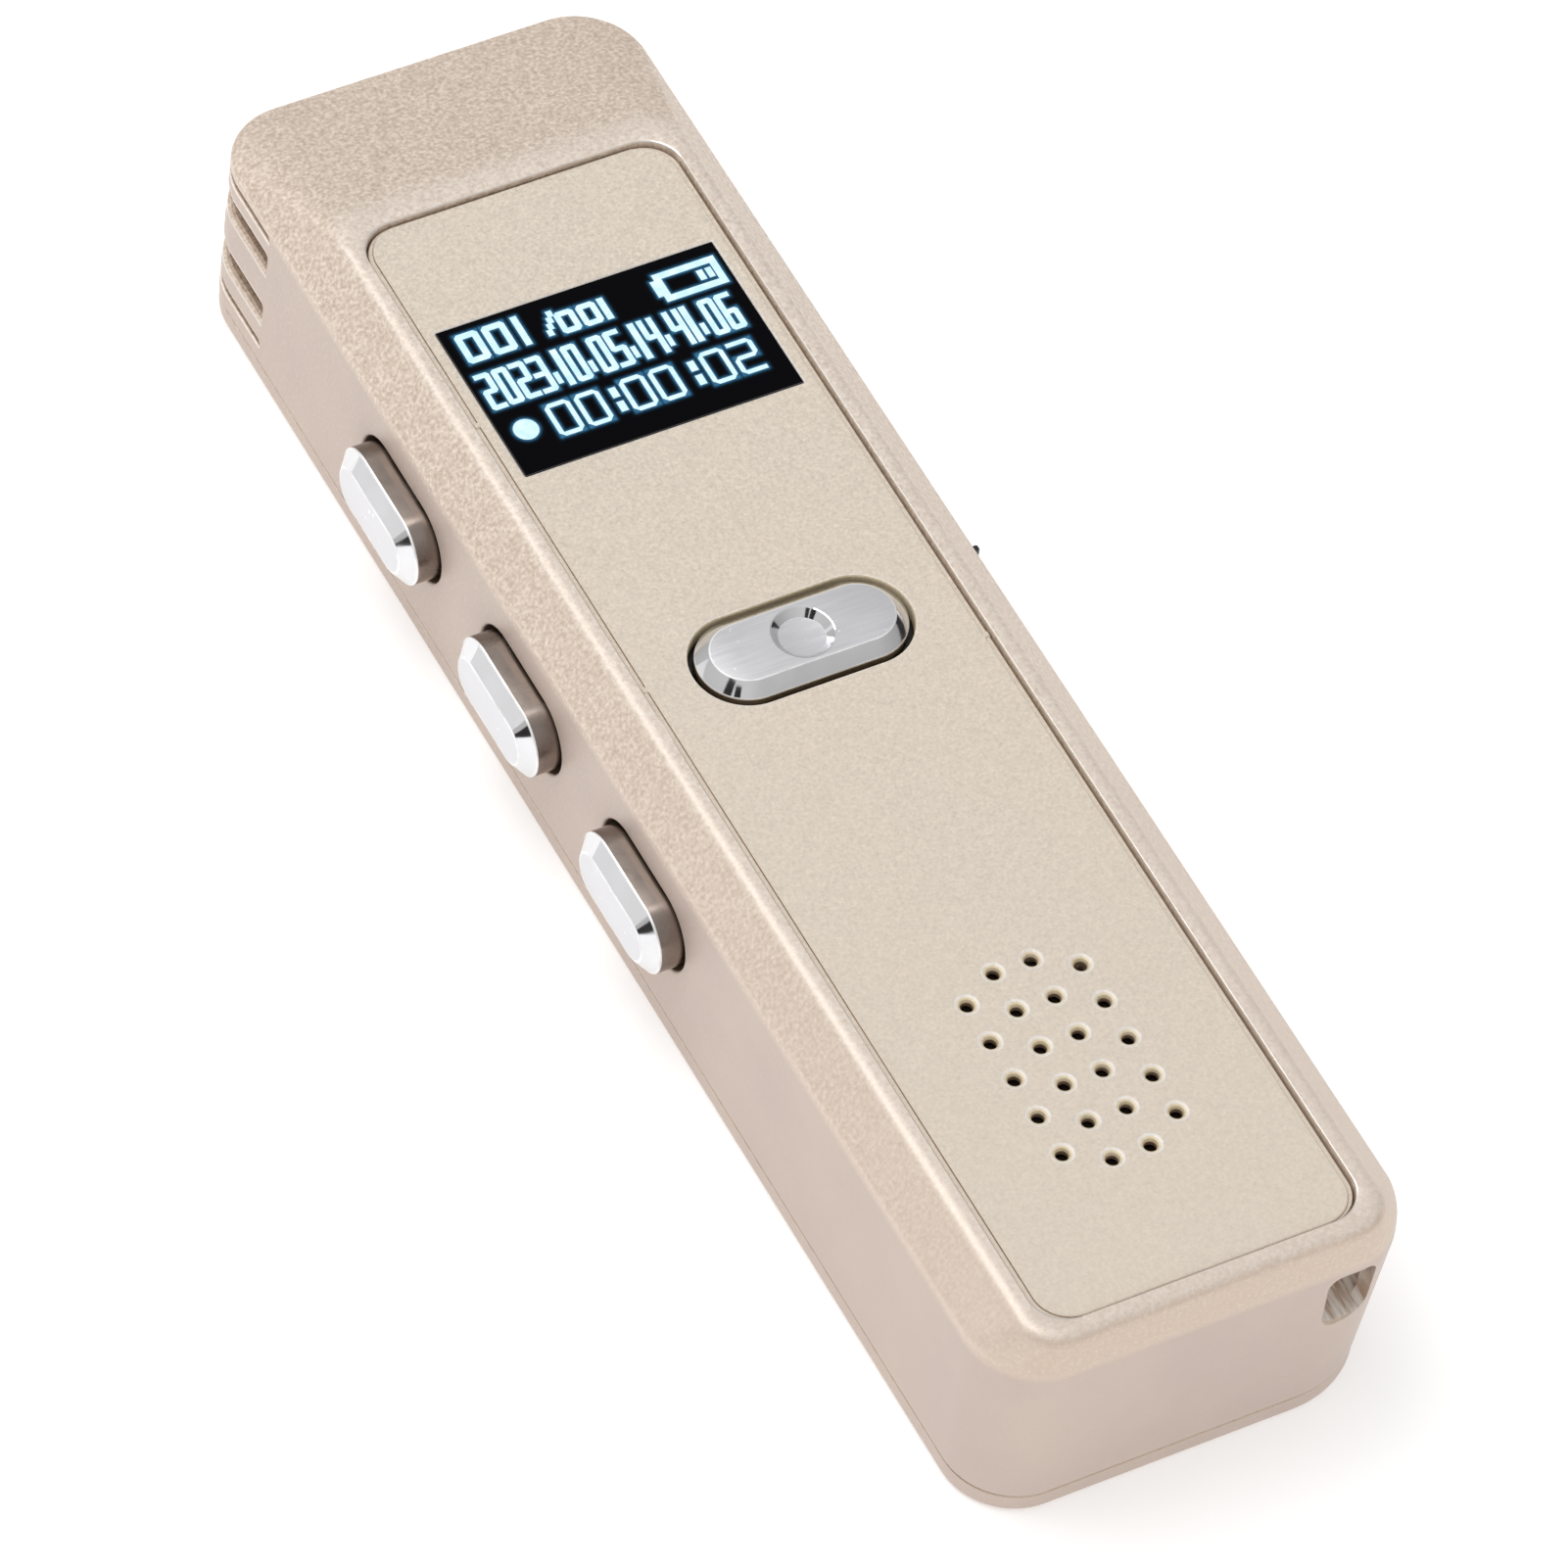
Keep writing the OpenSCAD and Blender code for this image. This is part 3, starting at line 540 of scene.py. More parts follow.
# Painted highlight: a bright metal for lip and edge bevels that catch the light.
LIP_HIGHLIGHT = metal("lip_painted_highlight", srgb(250, 243, 236), 0.3)
CHROME = chrome()
SATIN_X = satin_steel(0)
SATIN_Y = satin_steel(1)
RAW = cast_metal()
BROWN_CHROME = metal("shaded_chrome", srgb(150, 138, 130), 0.22)
BLACK = plastic("black_plastic", srgb(26, 26, 28), 0.42)
RUBBER = plastic("black_rubber", srgb(38, 38, 40), 0.7, 0.2, 0.02)
CAVITY = plastic("inner_plastic", srgb(58, 52, 48), 0.6)
STEEL = metal("bright_steel", srgb(200, 200, 202))
# Painted highlight for the buttons' edge roundings.
GLINT = metal("edge_painted_highlight", srgb(255, 255, 255), 0.5)
GREY_STEEL = metal("grey_steel", srgb(130, 132, 136), 0.35)


# ---- Case ----

def case_column(body, foot, crest, inner, edge):
    """Profile of the case skin over one point of its outline, from the seam up and into the recess."""
    top_end = min(max((body.y - (HALF_L - 9)) / 9, 0), 1)
    bottom_end = min(max((-body.y - (HALF_L - CORNER_R)) / CORNER_R, 0), 1)
    shoulder_z = SHOULDER_Z - 0.6 * bottom_end
    soft = 0.22 + 0.15 * top_end + 1.1 * bottom_end
    crest_soft = 0.55 + 0.35 * bottom_end + 0.5 * top_end
    inward = (crest - body).normalized() if (crest - body).length > 1e-6 else Vector((0, 0))
    shoulder = Vector((*body, shoulder_z))
    top = Vector((*crest, CREST_Z))
    slope = (top - shoulder).normalized()
    seam = [Vector((*(foot + inward * d), BASE_Z + z)) for d, z in ((0.12, 0), (0.03, 0.03), (0, 0.1))]
    turn_in = bezier(shoulder - Vector((0, 0, soft)), shoulder, shoulder + slope * soft, 5)
    turn_over = bezier(top - slope * crest_soft, top, Vector((*inner, CREST_Z)), 7)
    lip = [Vector((*edge.lerp(inner, f), z)) for f, z in
           ((0.16, CREST_Z), (0.05, CREST_Z - 0.03), (0, CREST_Z - 0.1), (0, RECESS_Z))]
    return seam + turn_in + turn_over + lip


def case_skin():
    """The case's outer shape as one closed solid, before anything is cut."""
    outlines = (plan(HALF_W, -HALF_L, HALF_L, CORNER_R),
                plan(HALF_W, -HALF_L, HALF_L, CORNER_R, strap_r=STRAP_FOOT_R),
                plan(RIM_X, RIM_Y0, RIM_Y1, RIM_R),
                plan(RIM_X - 0.5, RIM_Y0 + 0.8, RIM_Y1 - 0.55, RIM_R - 0.4),
                plan(panel_hi.x + PANEL_GAP, panel_lo.y - PANEL_GAP, panel_hi.y + PANEL_GAP,
                     PANEL_R + PANEL_GAP))
    columns = [case_column(*points) for points in zip(*outlines)]
    rings = [list(ring) for ring in zip(*columns)]
    # The two lip steps round the recess take the painted highlight.
    bands = [0] * (len(rings) - 4) + [4, 4, 0]
    return loft("upper_case_shell", rings, [PAINT, RAW, CAVITY, GROOVE, LIP_HIGHLIGHT, HALF_SHADE], bands)


def cavity():
    """Cutters for the hollow inside, which stops short of the strap corner."""
    wall_r = CORNER_R - WALL
    main = prism("cavity", plan(HALF_W - WALL, -HALF_L + WALL, RIM_Y1 - 0.8, wall_r), 0, CEILING_Z, 2)
    strap_block = prism("block", box_outline(5.9, -60, 30, -42.6), -1, 20, 2)
    combine(main, [strap_block])
    cap_plan = plan(HALF_W - WALL, RIM_Y1 - 4, HALF_L - WALL, wall_r - 0.01)
    cap = prism("cap_cavity", cap_plan, 0, CAP_CEILING_Z, 2)
    return [main, cap]


def facing(side, y, z):
    """Places a shape drawn along +Z so that it points out of the left (-1) or right (+1) wall."""
    along = Matrix(((0, 0, side), (1, 0, 0), (0, side, 0))).to_4x4()
    return Matrix.Translation((0, y, z)) @ along


def side_pill(low, high):
    """End radius, straight length and place of the stadium that fills a side button's box."""
    height = high.z - low.z
    return height / 2, high.y - low.y - height, facing(-1, (low.y + high.y) / 2, SIDE_Z)


def facing_top(low, high):
    """Places a shape drawn along +Z so that it points out of the top end, midway between corners."""
    along = Matrix(((-1, 0, 0), (0, 0, 1), (0, 1, 0))).to_4x4()
    mid = (low + high) / 2
    return Matrix.Translation((mid.x, 0, mid.z)) @ along


def speaker_outline(r):
    """Stadium of the given end radius along the body, over the speaker."""
    return [Vector((-p.y, p.x + SPEAKER_Y)) for p in pill(SPEAKER_STRAIGHT, r)]


def side_holes():
    """Button cut-outs in the left wall, with a slightly broken outer edge."""
    cutters = []
    for name in SIDE_BUTTONS:
        lip, straight, place = side_pill(*limits(name))
        r = lip - FLANGE + SIDE_GAP
        profile = [(r, HALF_W - WALL - 1), (r, HALF_W - 0.14), (r + 0.05, HALF_W - 0.04),
                   (r + 0.14, HALF_W), (r + 0.14, HALF_W + 1)]
        cutters.append(lathe_pill("side_hole", straight, profile, (), [3, 0, 0, 0], (3, 0), place))
    return cutters


def knob_slot():
    """Slot for the power knob in the right wall, as long as the knob and its travel."""
    y0 = knob_lo.y + KNOB_PLATE_END - KNOB_CLEARANCE
    y1 = knob_hi.y - KNOB_PLATE_END + KNOB_TRAVEL + KNOB_CLEARANCE
    half_h = KNOB_HALF_H + KNOB_CLEARANCE
    def ring(grow, x):
        return at(plan((y1 - y0) / 2 + grow, -half_h - grow, half_h + grow, 0.35, 6), x)
    rings = [ring(0, HALF_W - WALL - 1), ring(0, HALF_W - 0.12), ring(0.12, HALF_W), ring(0.12, HALF_W + 1)]
    return loft("knob_slot", rings, where=facing(1, (y0 + y1) / 2, KNOB_Z))


def groove_stations(side):
    """Points and outward directions along the wall, round the top corner and onto the end face."""
    centre = Vector((side * (HALF_W - CORNER_R), HALF_L - CORNER_R))
    stations = []
    run = HALF_L - CORNER_R - GROOVE_Y
    for s in (0, 0.04, 0.12, 0.25, 0.45, 1.5, 3.0, run):
        stations.append((Vector((side * HALF_W, GROOVE_Y + s)), Vector((side, 0)), s))
    for i in range(1, 17):
        a = math.radians(90 * i / 16)
        out = Vector((side * math.cos(a), math.sin(a)))
        stations.append((centre + out * CORNER_R, out, run))
    stations.append((centre + Vector((-side * 0.4, CORNER_R)), Vector((0, 1)), run))
    return stations


def groove(side, z0, z1, deep):
    """One groove cutter. A deep one has an undercut upper edge and a floor that ramps out below."""
    rings = []
    for point, out, s in groove_stations(side):
        turn = min(0.45, (z1 - z0) * 0.9)
        fall = turn - math.sqrt(max(turn ** 2 - max(turn - s, 0) ** 2, 0))
        top = z1 - fall
        h = top - z0
        if deep:
            shape = [(-0.4, z0 - 0.2), (0, z0 - 0.04), (0.06, z0 + 0.02 * h),
                     (0.26, z0 + 0.05 * h), (0.46, z0 + 0.09 * h), (0.76, z0 + 0.16 * h),
                     (0.8, z0 + 0.22 * h), (0.8, top - 0.08 * h), (0.1, top),
                     (0.03, top + 0.05), (0, top + 0.2), (-0.4, top + 0.2)]
        else:
            shape = [(-0.4, z0 - 0.1), (0, z0 - 0.1), (0.03, z0 - 0.03), (0.1, z0),
                     (0.4, z0 + 0.2 * h), (0.4, z0 + 0.8 * h), (0.1, top),
                     (0.03, top + 0.03), (0, top + 0.14), (-0.4, top + 0.14)]
        rings.append([Vector((*(point - out * d), z)) for d, z in shape])
    # Column materials: painted highlights on the lips, and painted shade inside the groove, lighter towards
    # its lower edge.
    columns = [0, 4, 0, 5, 3, 3, 3, 3, 4, 4, 0, 0] if deep else [0, 4, 0, 3, 3, 3, 4, 4, 0, 0]
    return loft("groove", rings, caps=(3, 3), columns=columns)


def mic_cutters(side):
    """Two deep and two thin grooves over a microphone, and the small holes that reach it."""
    cutters = [groove(side, z - 0.25, z + 0.25, False) for z in (MIC_Z - 4.8, MIC_Z + 4.6)]
    cutters += [groove(side, z, z + 1.88, True) for z in (MIC_Z - 3.15, MIC_Z + 1.3)]
    for z in (MIC_Z - 1.7, MIC_Z + 2.75):
        cutters.append(prism("mic_hole", circle(0.4, 16), HALF_W - 2.2, HALF_W - 0.3, 2,
                             where=facing(side, MIC_Y, z)))
    return cutters


def strap_cutters():
    """Windows on the end and the side, and the passage behind the corner."""
    mid = (STRAP_X0 + STRAP_X1) / 2 - (HALF_W - CORNER_R)
    to_end = Matrix(((1, 0, 0), (0, 0, -1), (0, 1, 0))).to_4x4()
    to_side = Matrix(((0, 0, 1), (1, 0, 0), (0, 1, 0))).to_4x4()
    level = Matrix.Translation((0, 0, (STRAP_Z0 + STRAP_Z1) / 2))
    windows = []
    for turn, shift in ((to_end, (mid, 0, 0)), (to_side, (0, -mid, 0))):
        windows.append(window_at(STRAP_CORNER @ level @ Matrix.Translation(shift) @ turn))
    outline = arc(STRAP_OUTER_R, -95, 6, 5) + arc(STRAP_INNER_R, 5, -96, -5)
    passage = prism("strap_passage", outline, STRAP_Z0, STRAP_Z1, 1, where=STRAP_CORNER)
    return windows + [passage]


def window_at(where):
    """Strap window cutter with soft corners and a flared mouth, drawn outward along +Z."""
    half_w = (STRAP_X1 - STRAP_X0) / 2
    half_h = (STRAP_Z1 - STRAP_Z0) / 2
    def ring(grow, depth):
        return at(plan(half_w + grow, -half_h - grow, half_h + grow, 0.7 + grow, 8), depth)
    rings = [ring(0, 1.35), ring(0, CORNER_R - 0.5), ring(0.05, CORNER_R - 0.2), ring(0.2, CORNER_R),
             ring(0.5, CORNER_R + 0.3)]
    return loft("strap_window", rings, bands=[1, 1, 0, 0], caps=(1, 0), where=where)


def socket_holes():
    """Openings in the top end for the USB socket and the earphone jack."""
    usb = lathe_pill("usb_hole", USB_STRAIGHT,
                     [(USB_R + 0.1, HALF_L - 3), (USB_R + 0.1, HALF_L - 0.15), (USB_R + 0.25, HALF_L),
                      (USB_R + 0.25, HALF_L + 1)], where=facing_top(usb_lo, usb_hi))
    jack = lathe("jack_hole", [(JACK_R + 0.06, HALF_L - 3), (JACK_R + 0.06, HALF_L - 0.1),
                               (JACK_R + 0.16, HALF_L), (JACK_R + 0.16, HALF_L + 1)],
                 where=facing_top(jack_lo, jack_hi))
    return [usb, jack]


def front_openings():
    """Openings through the front wall behind the display, the record button and the speaker."""
    lens_y = (lens_lo.y + lens_hi.y) / 2
    outlines = {"display_hole": plan(8.8, lens_y - 5.6, lens_y + 5.6, 0.5, 4),
                "record_hole": pill(RECORD_STRAIGHT, 3.83), "speaker_hole": speaker_outline(5.1)}
    return [prism(name, outline, CEILING_Z - 1, 15, 2) for name, outline in outlines.items()]


def build_case():
    """Case skin, hollowed and cut in one go."""
    case = case_skin()
    cutters = cavity() + side_holes() + [knob_slot()] + mic_cutters(-1) + mic_cutters(1)
    cutters += strap_cutters() + socket_holes() + front_openings()
    combine(case, cutters)
    finish_piece(case, CASE, ["upper_case"], 24, True)


def build_cover():
    """Back cover: a plate with a rounded lower edge and countersunk screw seats."""
    inset = HALF_W - cover_hi.x
    def ring(step, z):
        return at(plan(cover_hi.x - step, cover_lo.y + step, cover_hi.y - step, CORNER_R - inset - step,
                       strap_r=STRAP_FOOT_R - inset - step), z)
    edge_r = 0.5
    rings = [ring(edge_r - p.y, edge_r - p.x) for p in arc(edge_r, 0, 91, 10)]
    rings += [ring(0, cover_hi.z - 0.26), ring(0.03, cover_hi.z - 0.2), ring(0.24, cover_hi.z)]
    # The top chamfer at the seam takes painted shade, for a dark seam line.
    cover = loft("back_cover_plate", rings, [PAINT, CAVITY, GROOVE], bands=[0] * (len(rings) - 2) + [2])
    seats = [lathe("seat", [(1.65, -1), (1.65, 0), (1.5, 0.12), (1.5, 1.0), (0.8, 1.0), (0.8, 3)],
                   where=Matrix.Translation((x, y, 0)), steps=32) for x, y in SCREWS]
    combine(cover, seats)
    finish_piece(cover, CASE, ["back_cover"], 24, True)


def build_screws():
    """Case screws with a cross recess."""
    for number, (x, y) in enumerate(SCREWS, 1):
        place = Matrix.Translation((x, y, 0))
        screw = lathe("case_screw_%d" % number,
                      [(1.2, 0.1), (1.36, 0.16), (1.4, 0.26), (1.4, 0.98), (0.7, 1.0), (0.7, 5.9)], [STEEL],
                      where=place, steps=32)
        for turn in (0, 90):
            slot = box_outline(-0.9, -0.17, 0.9, 0.17)
            inner = [p * 0.6 for p in slot]
            cutter = loft("cross", [at(slot, 0), at(inner, 0.65)],
                          where=place @ Matrix.Rotation(math.radians(turn), 4, "Z"))
            combine(screw, [cutter])
        finish_piece(screw, CASE, ["case_screws"])


# ---- Front panel and display ----

def speaker_holes():
    """Staggered field of holes with wide dished mouths."""
    profile = [(0.38, RECESS_Z - 1), (0.38, PANEL_Z - 0.32), (0.46, PANEL_Z - 0.12), (0.57, PANEL_Z - 0.06),
               (0.67, PANEL_Z - 0.02), (0.74, PANEL_Z), (0.8, PANEL_Z + 0.04)]
    cutters = []
    for x, count in HOLE_COLUMNS:
        for i in range(count):
            place = Matrix.Translation((x, SPEAKER_Y + (i - (count - 1) / 2) * HOLE_PITCH, 0))
            # Hole walls: painted shade deep down, and the lighter beige as a painted highlight on the outer
            # dish.
            cutters.append(lathe("hole", profile, bands=[2, 1, 1, 3, 3, 0], steps=24, where=place))
    return cutters


def build_panel():
    """Front panel: a plate with a fine ledge and nubs round its edge, and its openings."""
    def ring(side, end, z):
        return at(plan(panel_hi.x - side, panel_lo.y + end, panel_hi.y - end, PANEL_R - end), z)
    rings = [ring(0.05, 0.05, RECESS_Z), ring(0, 0, RECESS_Z + 0.05), ring(0, 0, LEDGE_Z - 0.03),
             ring(0.03, 0.01, LEDGE_Z), ring(0.26, 0.02, LEDGE_Z), ring(0.3, 0.03, PANEL_Z - 0.04),
             ring(0.36, 0.1, PANEL_Z)]
    # The fine step inside the ledge takes painted shade, for a dark line round the panel.
    panel = loft("front_panel_plate", rings, [PANEL, PANEL_EDGE, GROOVE, PANEL_LIT], [1, 1, 0, 0, 2, 0])
    nub = box_outline(-0.2, -0.2, 0.2, 0.2)
    for side, y in ((-1, 0.3), (-1, 21.6), (1, -3.8)):
        x = side * (panel_hi.x - 0.17)
        combine(panel, [loft("nub", [at(nub, RECESS_Z + 0.1, (x, y)), at(nub, PANEL_Z - 0.08, (x, y)),
                                     at([p * 0.7 for p in nub], PANEL_Z - 0.01, (x, y))])], "UNION")
    def opening(grow, z):
        gap = 0.03 + grow
        return at(plan(lens_hi.x + gap, lens_lo.y - gap, lens_hi.y + gap, 0.1 + grow, 4), z)
    # The window's edge chamfer takes the lighter beige as a painted highlight.
    window_cut = loft("window_cut", [opening(0, RECESS_Z - 1), opening(0, PANEL_Z - 0.08),
                                     opening(0.1, PANEL_Z), opening(0.14, PANEL_Z + 0.04)], bands=[0, 3, 0])
    mouth = ((0, RECESS_Z - 1), (0, PANEL_Z - 0.14), (0.02, PANEL_Z - 0.08), (0.07, PANEL_Z - 0.02),
             (0.12, PANEL_Z), (0.16, PANEL_Z + 0.05))
    # The rounded mouth of the cut takes the lighter beige, painted light against its shade.
    record_cut = lathe_pill("record_cut", RECORD_STRAIGHT, [(RECORD_CUT_R + grow, z) for grow, z in mouth],
                            bands=[1, 1, 1, 3, 0], steps=32)
    pocket = prism("pocket", speaker_outline(4.95), RECESS_Z - 1, RECESS_Z + 0.38, 1)
    combine(panel, [window_cut, record_cut] + speaker_holes() + [pocket])
    finish_piece(panel, CASE, ["front_panel"], 24, True)


# Figures as rows of lit cells, top row first.
GLYPHS = {
    "0": "111 101 101 101 111", "1": "1 1 1 1 1", "2": "111 001 111 100 111", "3": "111 001 111 001 111",
    "4": "101 101 111 001 001", "5": "111 100 111 001 111", "6": "111 100 111 101 111",
    "-": "0 0 0 1 0", ":": "0 1 0 1 0",
}

# Height, stroke, (width, advance) of a digit, of a 1 and of a dot, and how far the outer corners are cut.
COUNT = (2.3, 0.42, (1.5, 1.74), (0.42, 1), (0.4, 1), 0.2)
TOTAL = (1.7, 0.38, (1.25, 1.43), (0.42, 1), (0.4, 1), 0.2)
DATE = (2.85, 0.36, (0.99, 1.11), (0.42, 0.61), (0.32, 0.56), 0.16)
CLOCK = (2.55, 0.3, (1.62, 1.9), (0.4, 0.6), (0.5, 0.75), 0.34)
COLON = (2.55, 0.34, (1.62, 1.9), (0.4, 0.6), (0.46, 0.75), 0.34)
COUNT_Y, TOTAL_Y, DATE_Y, CLOCK_Y = 25.8, 25.7, 22.1, 18.8
FIGURES_MID_Y = 22.87


def glyph_shapes(character, x, y, width, height, stroke, cut):
    """Outlines of one figure on a grid of bars and gaps, with its outer corners cut."""
    rows = GLYPHS[character].split()
    gap = (height - 3 * stroke) / 2
    ys = [y + height]
    for h in (stroke, gap, stroke, gap, stroke):
        ys.append(ys[-1] - h)
    xs = [x, x + stroke, x + width - stroke, x + width] if len(rows[0]) == 3 else [x, x + width]
    lit = {(i, j) for i, row in enumerate(rows) for j, mark in enumerate(row) if mark == "1"}
    shapes = []
    for i, j in sorted(lit):
        x0, x1, y0, y1 = xs[j], xs[j + 1], ys[i + 1], ys[i]
        points = []
        for px, py, down, side, first in ((x0, y0, 1, -1, True), (x1, y0, 1, 1, False), (x1, y1, -1, 1, True),
                                          (x0, y1, -1, -1, False)):
            outer = (i + down, j) in lit or (i, j + side) in lit
            inner = (i - down, j) in lit and (i, j - side) in lit
            if inner and not outer:
                upright, level = (px, py + cut * down), (px - cut * side, py)
                points += [upright, level] if first else [level, upright]
            else:
                points.append((px, py))
        shapes.append(points)
    return shapes


def text_shapes(text, x, y, style):
    """A row of figures from x rightward."""
    height, stroke, digit, bar, dot, cut = style
    shapes = []
    for character in text:
        width, advance = {"1": bar, "-": dot, ":": dot}.get(character, digit)
        shapes += glyph_shapes(character, x, y, width, height, stroke, cut)
        x += advance
    return shapes


def display_shapes():
    """Everything that is lit: file count, battery, date and time, and the running counter."""
    shapes = text_shapes("00", -8.3, COUNT_Y, COUNT)
    shapes += text_shapes("1", -4.6, COUNT_Y, COUNT)
    for i in range(4):
        x, y = -3.05 + 0.19 * i, 25.9 + 0.44 * i
        shapes.append(box_outline(x, y, x + 0.38, y + 0.46))
    shapes += text_shapes("001", -2.15, TOTAL_Y, TOTAL)
    edge = 0.45
    x0, y0, x1, y1 = 4.55, 25.55, 8.65, 27.75
    boxes = [(x0, y0, x1, y0 + edge), (x0, y1 - edge, x1, y1), (x0, y0 + edge, x0 + edge, y1 - edge),
             (x1 - edge, y0 + edge, x1, y1 - edge), (x0 - 0.32, 26.05, x0, 27.3),
             (7.15, y0 + 0.72, 7.55, y1 - 0.72), (7.72, y0 + 0.72, 8.1, y1 - 0.72)]
    shapes += [box_outline(*box) for box in boxes]
    shapes += text_shapes("2023-10-05-14-41-06", -8.6, DATE_Y, DATE)
    for x, pair in ((-5.85, "00"), (-1.0, "00"), (4.2, "02")):
        shapes += text_shapes(pair, x, CLOCK_Y, CLOCK)
    for x in (-1.75, 3.4):
        shapes += text_shapes(":", x, CLOCK_Y, COLON)
    shapes.append([(p.x - 7.5, p.y + 20.15) for p in circle(0.78, 20)])
    shift_x = (lens_lo.x + lens_hi.x) / 2
    shift_y = (lens_lo.y + lens_hi.y) / 2 - FIGURES_MID_Y
    return [[(x + shift_x, y + shift_y) for x, y in shape] for shape in shapes]


def build_figures(shapes):
    """Lit strokes as a thin layer in the face of the glass, walled only where no other adjoins."""
    bm = bmesh.new()
    corners, loops = {}, []
    for shape in shapes:
        loops.append([(round(x, 3), round(y, 3)) for x, y in shape])
        for key, (x, y) in zip(loops[-1], shape):
            if key not in corners:
                corners[key] = [bm.verts.new((x, y, lens_hi.z + z)) for z in (-0.01, 0.012)]
    edges = {edge for loop in loops for edge in zip(loop, loop[1:] + loop[:1])}
    for loop in loops:
        for level in (0, 1):
            bm.faces.new([corners[key][level] for key in loop])
        for a, b in zip(loop, loop[1:] + loop[:1]):
            if (b, a) not in edges:
                bm.faces.new((corners[a][0], corners[b][0], corners[b][1], corners[a][1]))
    finish_piece(from_bmesh("display_figures", bm, [lit_figure()]), CASE)


def build_lens(shapes):
    """Glass with a fine grid on its face that carries the glow round each lit stroke."""
    *strokes, dot = [list(zip(*shape)) for shape in shapes]
    boxes = [(min(xs), min(ys), max(xs), max(ys)) for xs, ys in strokes]
    dot_x, dot_y = (sum(values) / len(values) for values in dot)
    dot_r = max(dot[0]) - dot_x
    step, edge, reach, fade = 0.07, 0.03, 0.35, 0.1
    def stops(low, high):
        count = round((high - low - 2 * edge) / step)
        inner = [low + edge + (high - low - 2 * edge) * i / count for i in range(count + 1)]
        return [low] + inner + [high]
    xs, ys = stops(lens_lo.x, lens_hi.x), stops(lens_lo.y, lens_hi.y)
    bm = bmesh.new()
    layer = bm.verts.layers.float.new("glow")
    def top(i, j):
        rim = i in (0, len(xs) - 1) or j in (0, len(ys) - 1)
        return lens_hi.z - (edge if rim else 0)
    grid = [[bm.verts.new((x, y, top(i, j))) for i, x in enumerate(xs)] for j, y in enumerate(ys)]
    for row, y in zip(grid, ys):
        close = [box for box in boxes if box[1] - reach < y < box[3] + reach]
        for v, x in zip(row, xs):
            far = [math.hypot(max(a - x, 0, x - c), max(b - y, 0, y - d)) for a, b, c, d in close
                   if a - reach < x < c + reach]
            far.append(max(math.hypot(x - dot_x, y - dot_y) - dot_r, 0))
            v[layer] = math.exp(-(min(far) / fade) ** 1.4)
    last_i, last_j = len(xs) - 2, len(ys) - 2
    for j in range(last_j + 1):
        for i in range(last_i + 1):
            face = bm.faces.new((grid[j][i], grid[j][i + 1], grid[j + 1][i + 1], grid[j + 1][i]))
            face.material_index = int(i in (0, last_i) or j in (0, last_j))
    rim = grid[0] + [row[-1] for row in grid[1:]] + grid[-1][-2::-1] + [row[0] for row in grid[-2:0:-1]]
    lower = [bm.verts.new((v.co.x, v.co.y, lens_lo.z)) for v in rim]
    for i in range(len(rim)):
        j = (i + 1) % len(rim)
        bm.faces.new((rim[i], lower[i], lower[j], rim[j])).material_index = 1
    bm.faces.new(lower)
    lens = from_bmesh("display_glass", bm, [lit_glass(), plastic("glass_edge", srgb(60, 58, 58), 0.25)])
    finish_piece(lens, CASE, ["display_lens"])


# ---- Buttons ----

# Material of each step of a button's profile: black flange as painted shade in the gap, wall painted as a
# shaded brown reflection, and painted highlights on the edges round a chrome bevel.
BUTTON_BANDS = [2, 2, 2, 2, 3, 4, 4, 1, 4, 4]


def build_record_button():
    """Pill button: satin top with a dished centre, chrome bevel and a black foot painted as shade, with
    painted highlights on the bevel's edges.
    """
    r, top, bevel = RECORD_R, record_hi.z - 0.08, 0.82
    foot = record_lo.z
    profile = [(r + 0.62, foot), (r + 0.67, foot + 0.05), (r + 0.67, foot + 0.95),
               (r + 0.62, foot + 1.0), (r, foot + 1.0), (r, top - 0.81), (r - 0.02, top - 0.75),
               (r - 0.06, top - 0.7), (r - bevel + 0.04, top - 0.045), (r - bevel, top - 0.012),
               (r - bevel - 0.06, top)]
    button = lathe_pill("record_button_cap", RECORD_STRAIGHT, profile,
                        [SATIN_X, CHROME, BLACK, BROWN_CHROME, GLINT], BUTTON_BANDS, (2, 0), steps=32)
    dish = lathe("dish", [(1.34, top - 0.45), (1.42, top - 0.44), (1.84, top - 0.03),
                          (1.92, top), (1.95, top + 0.2)], bands=[0, 1, 1, 1], steps=64)
    combine(button, [dish])
    finish_piece(button, "record_button", ["record_button"], 20)


def build_side_buttons():
    """Three identical pill buttons: brushed face, wide chrome bevel and wall, with the same painted shade and
    highlights as the record button.
    """
    for name in SIDE_BUTTONS:
        low, high = limits(name)
        lip, straight, place = side_pill(low, high)
        r = lip - FLANGE
        outer, flange = -low.x, -high.x
        wall_top, bevel = outer - 0.75, 1.0
        profile = [(lip - 0.05, flange), (lip, flange + 0.05), (lip, flange + 0.55),
                   (lip - 0.05, flange + 0.6), (r, flange + 0.6), (r, wall_top - 0.07),
                   (r - 0.025, wall_top), (r - 0.09, wall_top + 0.05), (r - bevel + 0.06, outer - 0.05),
                   (r - bevel, outer - 0.012), (r - bevel - 0.08, outer)]
        button = lathe_pill(name + "_cap", straight, profile, [SATIN_Y, CHROME, BLACK, BROWN_CHROME, GLINT],
                            BUTTON_BANDS, (2, 0), place, 32)
        finish_piece(button, name, [name], 20)


